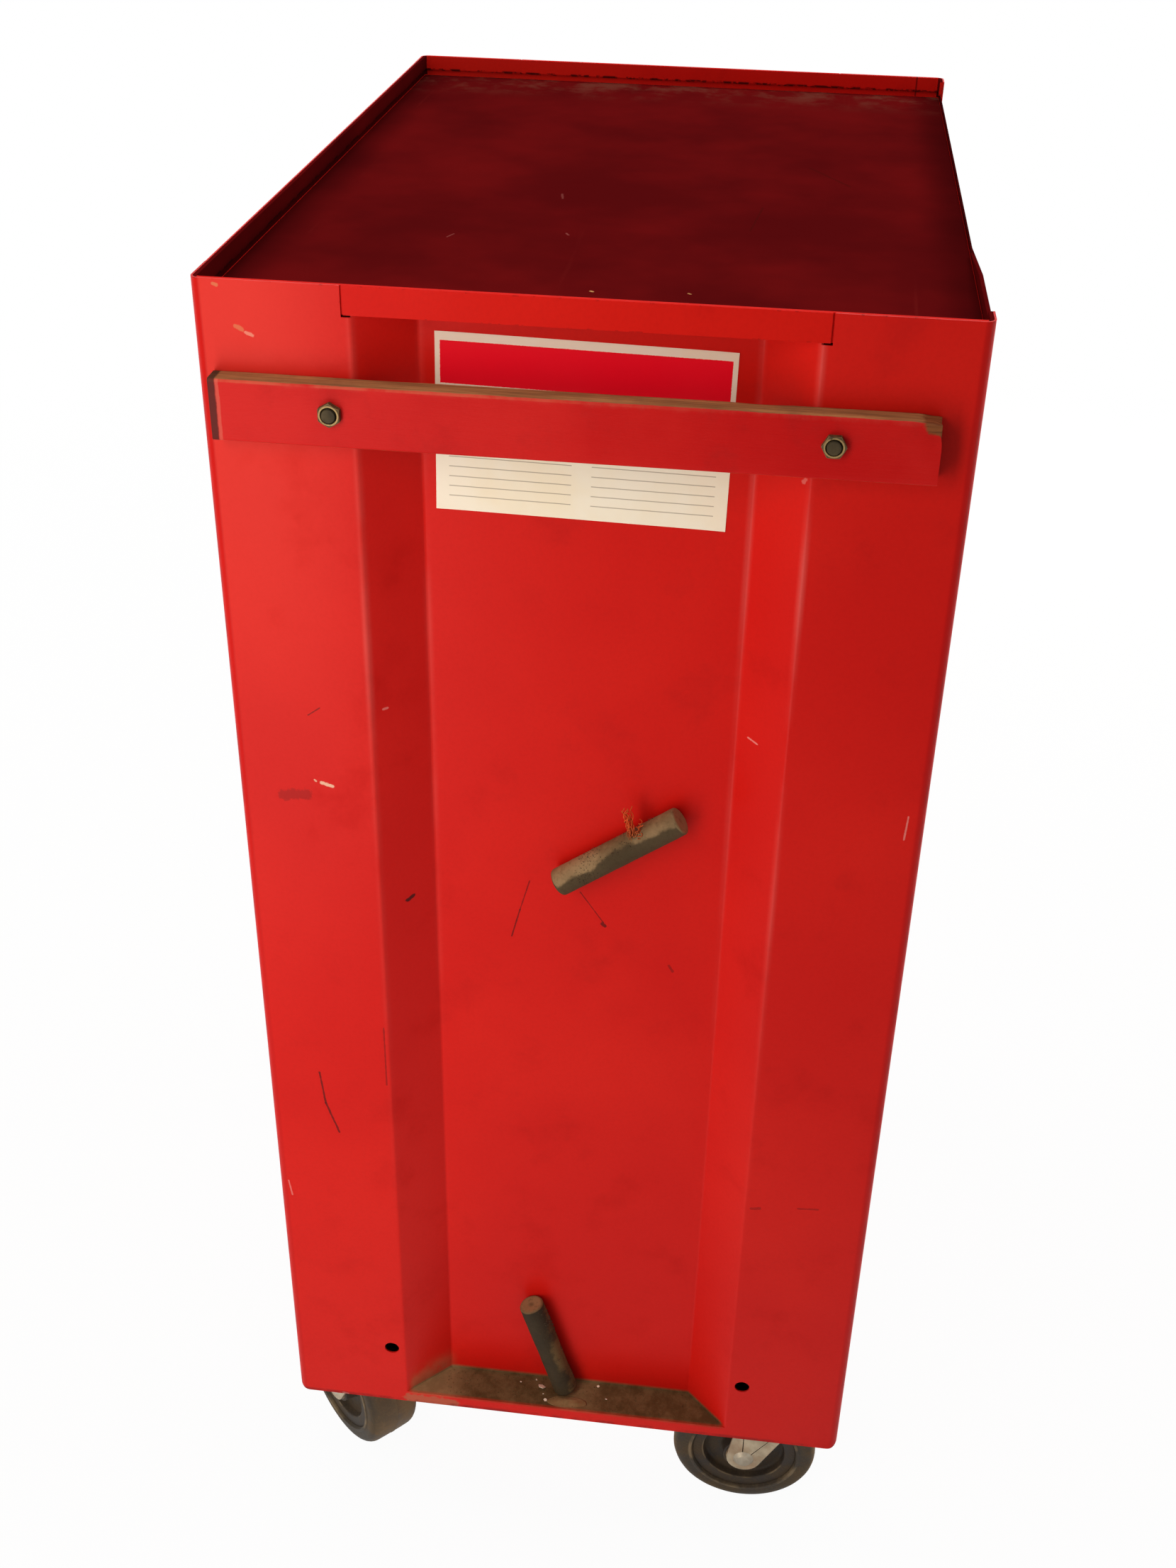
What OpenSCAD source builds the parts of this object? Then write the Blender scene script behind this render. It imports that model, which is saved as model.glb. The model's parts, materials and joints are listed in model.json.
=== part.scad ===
// Rolling tool cabinet: a folded sheet body with recessed ends and an open top tray, inset drawers
// on slides, a central lock, a timber push rail and plate casters.
// Millimetres, +Z up, drawers face -Y, push rail on the +X end, floor at z = 0.

/* [Body] */
// Width across the two end panels
body_w = 673; // [600:1:900]
// Depth from the front edge to the back edge
body_d = 457; // [420:1:560]
// Height of the end panels
body_h = 958; // [850:1:1200]
// Thickness of the body sheet
sheet = 1.2; // [0.8:0.1:1.6]
// Outside radius of the corner folds
fold_r = 6; // [5.5:0.5:10]
// Outside radius of the creases round the end recess
crease_r = 3; // [2:0.5:5]
// Width of the flange that laps the back panel
rear_flange_w = 20; // [14:1:40]
// Radius of the end panels' lower corners
foot_r = 9; // [4:0.5:11]

/* [End recess] */
// Width of the recess at the outer face
recess_mouth = 270; // [220:1:285]
// Depth of the recess
recess_depth = 31; // [27:1:45]
// Run of each slanted side wall along the depth of the body
recess_run = 33; // [20:1:60]
// Height of the ledge above the lower edge of the panel
ledge_h = 12; // [8:1:30]
// Diameter of the two fixing holes near the floor
fixing_hole_d = 12; // [6:0.5:16]
// Distance between the fixing holes, which the push rail bolts share
fixing_spacing = 292; // [291:1:300]
// Height of the fixing holes above the lower edge of the panel
fixing_up = 65; // [40:1:150]

/* [Corner posts] */
// Depth of each post along the body
post_d = 56; // [40:1:60]
// Width of the post flanges
post_flange_w = 22; // [12:1:24]
// Bend radius of the posts
post_r = 2.5; // [2:0.5:4]

/* [Top tray] */
// Depth of the tray below its rim
tray_depth = 16; // [14:1:40]
// Gap between the tray and the folds of the end panels
tray_clear = 0.1; // [0.05:0.05:0.3]
// Height of the folded hem inside the rim
hem_h = 11; // [6:1:13]
// Length of the end apron that fills the mouth of the recess
apron_w = 278; // [272:1:286]
// Gap round the apron
apron_gap = 1.2; // [0.6:0.1:2]
// Height of the low back lip above the tray floor
back_lip_h = 4; // [2:0.5:10]
// Drop of the lip's shoulder below the rim, next to the push rail end
shoulder_drop = 3; // [1:0.5:4]
// Distance from the push rail end to the foot of the shoulder
shoulder_foot = 190; // [120:1:260]
// Distance from the push rail end to the top of the shoulder
shoulder_top = 100; // [60:1:110]

/* [Front frame] */
// Height of the header under the tray
header_h = 44; // [42:1:70]
// Height of the sill above the lower edge of the panels
sill_h = 42; // [36:1:80]
// Depth of the inward flanges of header and sill
frame_flange = 22; // [12:1:30]

/* [Drawers] */
// Front height of the two top drawers
shallow_front_h = 80; // [74:1:100]
// Front height of the two middle drawers
middle_front_h = 110; // [80:1:130]
// Front height of the fifth drawer, with the lowest one taking the rest
deep_front_h = 190; // [120:1:210]
// Gap above and below each drawer front
front_gap = 4; // [2:0.5:8]
// Gap beside each drawer front
front_side_gap = 2.5; // [1:0.5:6]
// Thickness of a folded drawer front
front_depth = 14; // [8:1:20]
// Thickness of the drawer sheet
drawer_sheet = 1; // [0.8:0.1:1.5]
// Height of the box floor above the lower edge of its front
box_lift = 8; // [4:1:14]
// Drop of the box rim below the upper edge of its front
box_drop = 14; // [8:1:20]
// Space between the drawer boxes and the back panel
rear_space = 28; // [26:1:45]

/* [Pulls] */
// Height of the pull's back plate on the drawer front
pull_plate_h = 24; // [18:1:40]
// Reach of the pull from the drawer front
pull_reach = 18; // [14:1:30]
// Length of the pull's down-turned lip
pull_lip = 12; // [8:1:16]
// Thickness of the pull
pull_t = 2; // [1.5:0.1:3]
// Outside radius of the pull's bend
pull_r = 4; // [3.5:0.5:7]
// Distance of the pull's ends from the ends of the drawer front
pull_inset = 24; // [0:1:40]

/* [Slides] */
// Space for a slide beside each drawer box
slide_w = 12.5; // [11:0.5:16]
// Height of a fixed rail
slide_h = 32; // [24:1:40]
// Sheet thickness of rails and runners
rail_sheet = 1.5; // [1:0.1:2]
// Running gap between rail and runner
slide_gap = 0.4; // [0.3:0.1:0.6]
// Distance from a fixed rail's inner edge to the drawer box
rail_clear = 2; // [1.5:0.5:4]
// Height of the rail above the box floor
slide_up = 10; // [4:1:14]
// Distance of the rails behind the drawer fronts
rail_setback = 16; // [8:1:30]
// Travel of a drawer, which ends when its stop plates meet the stop lugs
drawer_travel = 320; // [200:5:340]
// Width and height of the stop lugs in the rails
stop_lug_w = 8; // [5:0.5:10]
// Reach of the stop lugs from the webs of the rails
stop_reach = 4; // [3:0.5:5]

/* [Lock] */
// Distance of the lock from the middle of the cabinet
lock_x = 180; // [-220:5:220]
// Diameter of the lock barrel
barrel_d = 19; // [16:0.5:22]
// Length of the lock barrel behind the header
barrel_l = 24; // [18:1:32]
// Width of the flange round the lock barrel
barrel_flange_w = 3; // [2:0.5:6]
// Thickness of the flange on the lock barrel
barrel_flange_t = 2; // [1:0.5:3]
// Diameter of the turning plug
plug_d = 12; // [10:0.5:14]
// Diameter of the rod that reaches the back of the cabinet
lock_rod_d = 8; // [6:0.5:9]
// Width of the key slot
key_slot_w = 1.5; // [1:0.1:3]
// Height of the key slot
key_slot_h = 7; // [5:0.5:8]
// Depth of the key slot
key_slot_l = 6; // [3:0.5:15]
// Throw of the crank that moves the lock bar
crank_r = 10; // [9:0.5:10.5]
// Diameter of the crank pin
crank_pin_d = 5; // [4:0.5:6]
// Width of the lock bar
lock_bar_w = 30; // [28:1:40]
// Thickness of the lock bar and its fingers
lock_bar_t = 2.5; // [2:0.1:3]
// Gap between the lock bar and the back panel
bar_gap = 1; // [0.5:0.1:2]
// Gap between the lock bar and the crank
crank_gap = 1; // [0.5:0.1:2]
// Gap round the crank pin in the slot of the lock bar
slot_gap = 0.5; // [0.3:0.1:1]
// Margin of the lock bar past its slot and its last finger
bar_margin = 4; // [3:0.5:8]
// Length of the catch behind each drawer
catch_reach = 14; // [12:1:18]
// Width of the catch
catch_w = 16; // [14:1:24]
// Thickness of the catch
catch_t = 1.5; // [1:0.1:2]
// Height of the catch above the drawer's floor
catch_up = 8; // [4:1:12]
// Width of the lock bar's fingers
finger_w = 10; // [6:1:14]
// Clearance of the lock bar's fingers from the catches
finger_clear = 1; // [0.5:0.1:2]
// Thickness of the straps that guide the lock bar
guide_t = 2; // [1.5:0.1:3]
// Height of the guide straps
guide_h = 12; // [8:1:16]
// Width of the guide straps on each side of the lock bar
guide_ear_w = 8; // [5:1:12]
// Gap between the guide straps and the lock bar
guide_gap = 0.4; // [0.3:0.1:0.8]
// Height of a guide strap above its finger
guide_up = 6; // [4:1:10]
// Thickness of the hanger that carries the lock rod
hanger_t = 3; // [2:0.5:5]
// Gap between the hanger and the crank
hanger_gap = 2; // [1:0.5:3]

/* [Push rail] */
// Thickness of the timber rail
rail_t = 15; // [12:1:30]
// Height of the timber rail
rail_h = 38; // [30:1:60]
// Length of the timber rail
rail_l = 424; // [340:1:440]
// Distance of the rail's middle below the rim of the tray
rail_down = 73; // [60:1:250]
// Offset of the rail towards the back
rail_shift = -6; // [-8:1:8]
// Drop of the bolts below the rail's middle
rail_bolt_drop = -2; // [-6:0.5:6]
// Chamfer on the long edges of the rail
rail_chamfer = 1.5; // [0.5:0.5:4]
// Diameter of the rail bolts
rail_bolt_d = 8; // [6:0.5:12]
// Width of the rail bolts' nuts and heads across their flats
rail_nut_af = 13; // [11.5:0.1:18]
// Height of a rail bolt's nut
rail_nut_h = 4; // [3:0.1:10]
// Length of a rail bolt that stands out of its nut
bolt_proud = 1; // [0.5:0.1:8]

/* [Fasteners] */
// Diameter of the caster bolts
bolt_d = 8; // [6:1:10]
// Width of the caster bolts' nuts and heads across their flats
nut_af = 13; // [11.5:0.5:15]
// Height of a nut
nut_h = 6.5; // [4:0.5:8]
// Height of a bolt head
head_h = 5.3; // [4:0.1:5.5]
// Clearance round a bolt in its hole
bolt_clear = 0.2; // [0.1:0.1:0.5]

/* [Casters] */
// Height from the floor to the underside of the cabinet floor
caster_h = 158.8; // [156:0.1:175]
// Diameter of the wheels
wheel_d = 127; // [110:1:129]
// Width of the wheels
wheel_w = 50; // [32:1:52]
// Distance of a caster's axis from the inner face of the end recess
caster_in_x = 43; // [42:1:100]
// Distance of a caster's axis from the front or back of the body
caster_in_y = 46; // [45:1:90]
// Trail of the swivel casters
trail = 28; // [20:1:34]
// Direction in which the front swivel caster trails, from +X
front_turn = 225; // [0:5:355]
// Direction in which the back swivel caster trails, from +X
back_turn = 270; // [0:5:355]
// Length of a caster plate along the width of the cabinet
plate_l = 80; // [78:1:82]
// Width of a caster plate along the depth of the cabinet
plate_w = 84; // [82:1:86]
// Thickness of a caster plate
plate_t = 3; // [2.5:0.5:5]
// Thickness of the doubler plates on the cabinet floor
doubler_t = 3; // [2:0.5:5]
// Distance of the doublers' edges inside those of the plates
doubler_in = 2; // [0:0.5:3]
// Distance of the caster bolts from the plate's edges
plate_bolt_in = 10; // [9:0.5:11]
// Thickness of the fork sheet
fork_sheet = 3; // [2:0.5:4]
// Gap between a tyre and the fork legs
fork_gap = 2; // [1.5:0.5:4]
// Length of the swivel fork's crown
crown_l = 60; // [48:1:62]
// Length of the rigid fork's crown
rigid_crown_l = 40; // [30:1:42]
// Radius of the fork leg round the axle
leg_r = 15; // [12:0.5:20]
// Height of the swivel race between plate and crown
race_h = 12; // [10:0.5:13]
// Outer diameter of the swivel race
race_d = 58; // [44:1:60]
// Inner diameter of the swivel race
race_bore_d = 35; // [28:1:40]
// Gap between the two halves of the swivel race
race_gap = 0.3; // [0.2:0.1:0.6]
// Diameter of the swivel kingpins
kingpin_d = 12; // [10:1:16]
// Diameter of the kingpin heads
kingpin_head_d = 20; // [18:1:26]
// Diameter of the wheel axles
axle_d = 12; // [10:1:16]
// Diameter of the axle heads
axle_head_d = 18; // [17:0.5:24]
// Height of the axle heads
axle_head_h = 3; // [2:0.5:5]
// Running clearance round axles, kingpins and lock, on the radius
run_clear = 0.05; // [0.02:0.01:0.1]

/* [Wheels] */
// Diameter of the boss round the axle
boss_d = 39; // [30:1:50]
// Outer diameter of the dished web
web_d = 70; // [56:1:80]
// Depth of the dish below the sides of the tyre
web_in = 11; // [6:0.5:12]
// Diameter of the tyre's seat
seat_d = 91; // [84:1:95]
// Depth of the hub's rim below the sides of the tyre
hub_rim_in = 3; // [2:0.5:5]
// Gap between a hub's boss and the fork legs
hub_clear = 0.4; // [0.3:0.1:0.8]
// Gap between a tyre and its seat
seat_clear = 0.05; // [0.02:0.01:0.1]
// Radius of the tyre's shoulders
shoulder_r = 8; // [4:0.5:10]
// Height of the ridges on the sides of the tyre
ridge_h = 1.2; // [0.6:0.1:2]
// Width of the ridge next to the hub
ridge_w = 5; // [4:0.5:6]

/* [Bar magnets] */
// Diameter of the bar magnets
magnet_d = 20; // [12:1:24]
// Length of the bar magnets
magnet_l = 102; // [60:1:140]
// Chamfer on the ends of the bar magnets
magnet_edge = 1.7; // [0.5:0.1:3]
// Gap between the bar magnets and the sheet that they rest on
magnet_rest = 0.1; // [0.05:0.05:0.3]
// Position of the upper magnet towards the back
upper_magnet_y = 28; // [-40:1:40]
// Height of the upper magnet above the lower edge of the panel
upper_magnet_up = 571; // [200:1:800]
// Tilt of the upper magnet from level
upper_magnet_tilt = 36; // [0:1:60]
// Position of the lower magnet's foot towards the back
lower_magnet_y = -2; // [-40:1:60]
// Lean of the lower magnet from upright
lower_magnet_lean = 17; // [0:1:40]

/* [Hidden] */
$fn = 48;
// Angle between neighbouring points on a bend
arc_step = 15;
// Overlap of cutting solids past the surface they cut
cut = 1;

half_w = body_w / 2;
half_d = body_d / 2;
half_in = half_w - recess_depth - sheet;
half_mouth = recess_mouth / 2;
pan_under_z = caster_h;
pan_top_z = pan_under_z + sheet;
body_z = pan_top_z - ledge_h;
rim_z = body_z + body_h;
tray_floor_z = rim_z - tray_depth;
tray_under_z = tray_floor_z - sheet;
apron_t = 2 * sheet + tray_clear;
back_in_y = half_d - 2 * sheet;
recess_x = half_w - recess_depth;

header_z = tray_under_z - header_h;
sill_z = body_z + sill_h;

DRAWERS = 6;
stack_h = header_z - sill_z - (DRAWERS + 1) * front_gap;
lowest_front_h = stack_h - 2 * shallow_front_h - 2 * middle_front_h - deep_front_h;
front_heights = [shallow_front_h, shallow_front_h, middle_front_h, middle_front_h, deep_front_h,
                 lowest_front_h];
front_half_w = half_in - front_side_gap;
box_half_w = half_in - slide_w;
box_front_y = -half_d + front_depth;
box_back_y = back_in_y - rear_space;
rail_y = box_front_y + rail_setback;

rail_bend_r = 1.5 * rail_sheet;
runner_x = half_in - rail_bend_r - slide_gap;
stop_y = box_back_y - rail_sheet - drawer_travel - slide_gap;

lock_z = tray_under_z - header_h / 2;
// Angle of the crank above level at rest, and below level when locked
crank_rest = 45;
lock_travel = 2 * crank_r * sin(crank_rest);
crank_boss_r = 0.8 * lock_rod_d;
crank_eye_r = 0.8 * crank_pin_d;
bar_x = lock_x + crank_r * (1 + cos(crank_rest)) / 2;
bar_back_y = back_in_y - bar_gap;
bar_y = bar_back_y - lock_bar_t;
crank_y = bar_y - crank_gap - lock_bar_t;
catch_lip_h = lock_travel;
hook_l = catch_lip_h - 2 * finger_clear;
hook_y = box_back_y + (catch_reach - catch_t - lock_bar_t) / 2;

caster_x = half_in - caster_in_x;
caster_y = half_d - caster_in_y;
wheel_r = wheel_d / 2;
plate_z = pan_under_z - plate_t;
crown_z = plate_z - race_h - fork_sheet;
rigid_crown_z = plate_z - fork_sheet;
fork_in_w = wheel_w + 2 * fork_gap;
fork_out_w = fork_in_w + 2 * fork_sheet;
rim_half_w = wheel_w / 2 - hub_rim_in;
web_half_w = wheel_w / 2 - web_in;

rail_z = rim_z - rail_down;
rail_bolt_z = rail_z - rail_bolt_drop;
magnet_x = recess_x + magnet_d / 2 + magnet_rest;

// Vector helpers
function unit(v) = v / norm(v);
function left_of(v) = [-v.y, v.x];
function spun(v, a) = [v.x * cos(a) - v.y * sin(a), v.x * sin(a) + v.y * cos(a)];
function steps(angle) = max(2, ceil(angle / arc_step));

// Points of a bend of radius r at corner b between a and c
function bend(a, b, c, r) =
    let (u = unit(a - b), w = unit(c - b), half = acos(u * w) / 2,
         centre = b + unit(u + w) * r / sin(half), start = b + u * r / tan(half) - centre,
         sweep = (180 - 2 * half) * sign(cross(b - a, c - b)), n = steps(abs(sweep)))
    [for (i = [0:n]) centre + spun(start, sweep * i / n)];

// An open path whose inner corners are bent to the given radii
function rounded(path, radii) =
    let (last = len(path) - 1)
    [for (i = [0:last]) each (i == 0 || i == last || radii[i] == 0)
        ? [path[i]] : bend(path[i - 1], path[i], path[i + 1], radii[i])];

// The same path moved to its left by t
function beside(p, t) =
    let (last = len(p) - 1)
    [for (i = [0:last])
        let (before = left_of(unit(i == 0 ? p[1] - p[0] : p[i] - p[i - 1])),
             after = left_of(unit(i == last ? p[i] - p[i - 1] : p[i + 1] - p[i])),
             mitre = unit(before + after))
        p[i] + mitre * t / (mitre * before)];

function reversed(p) = [for (i = [len(p) - 1:-1:0]) p[i]];
function mirrored(p) = [for (q = reversed(p)) [-q.x, q.y]];

// Closed outline of a folded strip of thickness t on the left of a path
function strip(path, radii, t) =
    let (face = rounded(path, radii))
    concat(face, reversed(beside(face, t)));

function same(value, count) = [for (i = [1:count]) value];

// Corner points of a rectangle with rounded corners, centred
function round_rect(w, d, r) =
    [for (q = [0:3]) for (i = [0:steps(90)])
        let (a = 90 * q + 90 * i / steps(90))
        [(q == 0 || q == 3 ? 1 : -1) * (w / 2 - r) + r * cos(a),
         (q < 2 ? 1 : -1) * (d / 2 - r) + r * sin(a)]];

// Profile in Y and Z, drawn along X about the middle
module along_x(length) {
    translate([-length / 2, 0, 0]) rotate([90, 0, 90]) linear_extrude(length) children();
}

// Profile in X and Z, drawn along Y from y0 to y1
module along_y(y0, y1) {
    translate([0, y1, 0]) rotate([90, 0, 0]) linear_extrude(y1 - y0) children();
}

module both_ends() {
    children();
    mirror([1, 0, 0]) children();
}

// A vertical hexagon prism
module hexagon(across, h) {
    cylinder(d = across / cos(30), h = h, $fn = 6);
}

// Body

panel_path = [[half_in, -half_d], [half_w, -half_d], [half_w, -half_mouth],
              [recess_x, -half_mouth + recess_run], [recess_x, half_mouth - recess_run],
              [half_w, half_mouth], [half_w, half_d], [half_w - rear_flange_w, half_d]];
panel_radii = [0, fold_r, crease_r, crease_r, crease_r, crease_r, fold_r, 0];

// Removes the recess wall between two heights
module recess_cut(z0, z1) {
    translate([half_in - cut, -half_mouth, z0])
        cube([recess_depth + sheet + 2 * cut, recess_mouth, z1 - z0]);
}

// Lip that closes the mouth of the recess below its ledge
module recess_lip() {
    translate([half_w - sheet, -half_mouth - crease_r, body_z])
        cube([sheet, recess_mouth + 2 * crease_r, ledge_h]);
}

module recess_ledge() {
    walls = [for (i = [2:5]) panel_path[i]];
    translate([0, 0, pan_top_z - sheet]) linear_extrude(sheet) polygon(beside(walls, sheet / 2));
}

// Notch in a corner strip for one end of the tray apron
module apron_notch() {
    translate([half_w - sheet - cut / 2, half_mouth - cut, tray_under_z - apron_gap])
        cube([sheet + cut, apron_w / 2 + apron_gap - half_mouth + cut,
              tray_depth + sheet + apron_gap + cut]);
}

// Removes the sharp lower corner of an end panel at the back
module foot_corner() {
    translate([half_in - cut, half_d - foot_r, body_z + foot_r]) rotate([0, 90, 0])
        linear_extrude(recess_depth + sheet + 2 * cut) difference() {
            square(foot_r + cut);
            circle(r = foot_r);
        }
}

// A pair of holes through the corner strips
module strip_holes(d, z) {
    for (side = [-1, 1])
        translate([half_w + cut, side * fixing_spacing / 2, z]) rotate([0, -90, 0])
            cylinder(d = d, h = sheet + 2 * cut);
}

module end_panel() {
    difference() {
        union() {
            difference() {
                translate([0, 0, body_z]) linear_extrude(body_h)
                    polygon(strip(panel_path, panel_radii, sheet));
                recess_cut(body_z - cut, pan_top_z - sheet);
                recess_cut(tray_under_z, rim_z + cut);
            }
            recess_lip();
            recess_ledge();
        }
        apron_notch();
        mirror([0, 1, 0]) apron_notch();
        foot_corner();
        mirror([0, 1, 0]) foot_corner();
        strip_holes(fixing_hole_d, body_z + fixing_up);
    }
}

module right_side_panel() {
    color("firebrick") difference() {
        end_panel();
        strip_holes(rail_bolt_d + 2 * bolt_clear, rail_bolt_z);
    }
}

module left_side_panel() {
    color("firebrick") mirror([1, 0, 0]) end_panel();
}

module back_panel() {
    back_w = body_w - 2 * (fold_r + sheet);
    color("firebrick") translate([-back_w / 2, back_in_y, body_z])
        cube([back_w, sheet, tray_under_z - body_z]);
}

// Places children on the four bolts of every caster plate
module caster_bolt_places() {
    for (sx = [-1, 1], sy = [-1, 1], bx = [-1, 1], by = [-1, 1])
        translate([sx * caster_x + bx * (plate_l / 2 - plate_bolt_in),
                   sy * caster_y + by * (plate_w / 2 - plate_bolt_in), 0]) children();
}

module caster_bolt_holes() {
    caster_bolt_places() translate([0, 0, plate_z - cut])
        cylinder(d = bolt_d + 2 * bolt_clear, h = plate_t + sheet + doubler_t + 2 * cut);
}

module base_pan() {
    inner = beside(rounded(panel_path, panel_radii), sheet);
    color("firebrick") difference() {
        translate([0, 0, pan_under_z]) linear_extrude(sheet) intersection() {
            polygon(concat(inner, mirrored(inner)));
            translate([-half_w, -half_d]) square([body_w, half_d + back_in_y]);
        }
        caster_bolt_holes();
    }
}

// The tray's outline, drawn in by a number of sheet thicknesses
module tray_outline(sheets) {
    inset = sheet + tray_clear + sheets * sheet;
    polygon(round_rect(body_w - 2 * inset, body_d - 2 * inset, fold_r - inset));
}

// Cuts the back wall of the tray down to its low lip
module back_dip() {
    lip_z = tray_floor_z + back_lip_h;
    shoulder_z = rim_z - shoulder_drop;
    along_y(half_d - fold_r, half_d + cut) polygon([
        [-half_w + rear_flange_w, rim_z + cut], [-half_w + rear_flange_w, lip_z],
        [half_w - shoulder_foot, lip_z], [half_w - shoulder_top, shoulder_z],
        [half_w - rear_flange_w, shoulder_z], [half_w - rear_flange_w, rim_z + cut]]);
}

module top_tray() {
    color("darkred") difference() {
        union() {
            translate([0, 0, tray_under_z]) linear_extrude(sheet) tray_outline(0);
            translate([0, 0, tray_under_z]) linear_extrude(tray_depth + sheet) difference() {
                tray_outline(0);
                tray_outline(1);
            }
            translate([0, 0, rim_z - hem_h]) linear_extrude(hem_h) difference() {
                tray_outline(1);
                tray_outline(2);
            }
            both_ends() translate([half_w - apron_t, -apron_w / 2, tray_under_z])
                cube([apron_t, apron_w, tray_depth + sheet]);
        }
        back_dip();
    }
}

module front_header() {
    profile = [[-half_d + frame_flange, header_z], [-half_d, header_z], [-half_d, rim_z]];
    color("firebrick") difference() {
        along_x(2 * half_in) polygon(strip(reversed(profile), same(post_r, 3), sheet));
        translate([lock_x, -half_d - cut, lock_z]) rotate([-90, 0, 0])
            cylinder(d = barrel_d + 2 * bolt_clear, h = sheet + 2 * cut);
    }
}

module front_sill() {
    profile = [[-half_d + frame_flange, sill_z], [-half_d, sill_z], [-half_d, body_z]];
    color("firebrick") along_x(2 * half_in) polygon(strip(profile, same(post_r, 3), sheet));
}

// One channel post with its open side towards the end panel
module post(y_back) {
    y_front = y_back - post_d;
    path = [[half_in + post_flange_w, y_back], [half_in, y_back], [half_in, y_front],
            [half_in + post_flange_w, y_front]];
    translate([0, 0, pan_top_z]) linear_extrude(tray_under_z - pan_top_z)
        polygon(strip(path, same(post_r, 4), sheet));
}

module corner_posts() {
    color("firebrick") both_ends() {
        post(-half_d + sheet + post_d);
        post(back_in_y);
    }
}

// Drawers

// Height of the lower edge of drawer front i, counted from the top
function front_z(i) = (i == 0 ? header_z : front_z(i - 1)) - front_gap - front_heights[i];
function front_top_z(i) = front_z(i) + front_heights[i];
function box_z(i) = front_z(i) + box_lift;
function box_top_z(i) = front_top_z(i) - box_drop;
function slide_z(i) = box_z(i) + slide_up;
function catch_z(i) = box_z(i) + catch_up;
function finger_z(i) = catch_z(i) + catch_t + catch_lip_h + lock_travel + finger_clear;

// Catch behind a drawer that the lock bar hooks
module drawer_catch(i) {
    translate([bar_x - catch_w / 2, box_back_y - drawer_sheet, catch_z(i)])
        cube([catch_w, catch_reach + drawer_sheet, catch_t]);
    translate([bar_x - catch_w / 2, box_back_y + catch_reach - catch_t, catch_z(i)])
        cube([catch_w, catch_t, catch_t + catch_lip_h]);
}

module drawer_box(i) {
    depth = box_back_y - box_front_y;
    color("silver") {
        difference() {
            translate([-box_half_w, box_front_y, box_z(i)])
                cube([2 * box_half_w, depth, box_top_z(i) - box_z(i)]);
            translate([-box_half_w + drawer_sheet, box_front_y + drawer_sheet, box_z(i) + drawer_sheet])
                cube([2 * (box_half_w - drawer_sheet), depth - 2 * drawer_sheet, box_top_z(i) - box_z(i)]);
        }
        drawer_catch(i);
    }
}

module drawer_front(i) {
    color("firebrick") difference() {
        translate([-front_half_w, -half_d, front_z(i)])
            cube([2 * front_half_w, front_depth, front_heights[i]]);
        translate([-front_half_w + drawer_sheet, -half_d + drawer_sheet, front_z(i) + drawer_sheet])
            cube([2 * (front_half_w - drawer_sheet), front_depth, front_heights[i] - 2 * drawer_sheet]);
    }
}

module drawer_pull(i) {
    top = front_top_z(i);
    profile = [[-half_d, top - pull_plate_h], [-half_d, top], [-half_d - pull_reach, top],
               [-half_d - pull_reach, top - pull_lip]];
    color("lightgray") along_x(2 * (front_half_w - pull_inset))
        polygon(strip(profile, [0, 0, pull_r, 0], pull_t));
}

// Fixed channel of one slide, with the lug that stops its runner
module slide_rail(i) {
    inner_x = half_in - slide_w + rail_clear;
    path = [[inner_x, slide_z(i)], [half_in, slide_z(i)], [half_in, slide_z(i) + slide_h],
            [inner_x, slide_z(i) + slide_h]];
    along_y(rail_y, box_back_y) polygon(strip(path, same(rail_bend_r, 4), rail_sheet));
    translate([half_in - rail_sheet - stop_reach, stop_y - stop_lug_w,
               slide_z(i) + (slide_h - stop_lug_w) / 2])
        cube([stop_reach + rail_sheet / 2, stop_lug_w, stop_lug_w]);
}

module slide_rails() {
    color("gray") both_ends() for (i = [0:DRAWERS - 1]) slide_rail(i);
}

// Channels that slide in the rails, each closed by a stop plate at the back
module drawer_runners(i) {
    low = slide_z(i) + rail_sheet + slide_gap;
    high = slide_z(i) + slide_h - rail_sheet - slide_gap;
    path = [[runner_x, high], [box_half_w, high], [box_half_w, low], [runner_x, low]];
    color("darkgray") both_ends() {
        along_y(box_front_y, box_back_y) polygon(strip(path, same(rail_bend_r, 4), rail_sheet));
        translate([box_half_w + rail_sheet / 2, box_back_y - rail_sheet, low + rail_sheet / 2])
            cube([runner_x - box_half_w - rail_sheet / 2, rail_sheet, high - low - rail_sheet]);
    }
}

// Lock

// A cylinder along Y from y0 to y1 on the lock's axis
module on_lock_axis(d, y0, y1) {
    translate([lock_x, y0, lock_z]) rotate([-90, 0, 0]) cylinder(d = d, h = y1 - y0);
}

module lock_barrel() {
    front_y = -half_d - barrel_flange_t;
    color("silver") difference() {
        union() {
            on_lock_axis(barrel_d, front_y, -half_d + barrel_l);
            on_lock_axis(barrel_d + 2 * barrel_flange_w, front_y, -half_d);
        }
        on_lock_axis(plug_d + 2 * run_clear, front_y - cut, -half_d + barrel_l + cut);
    }
}

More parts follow.
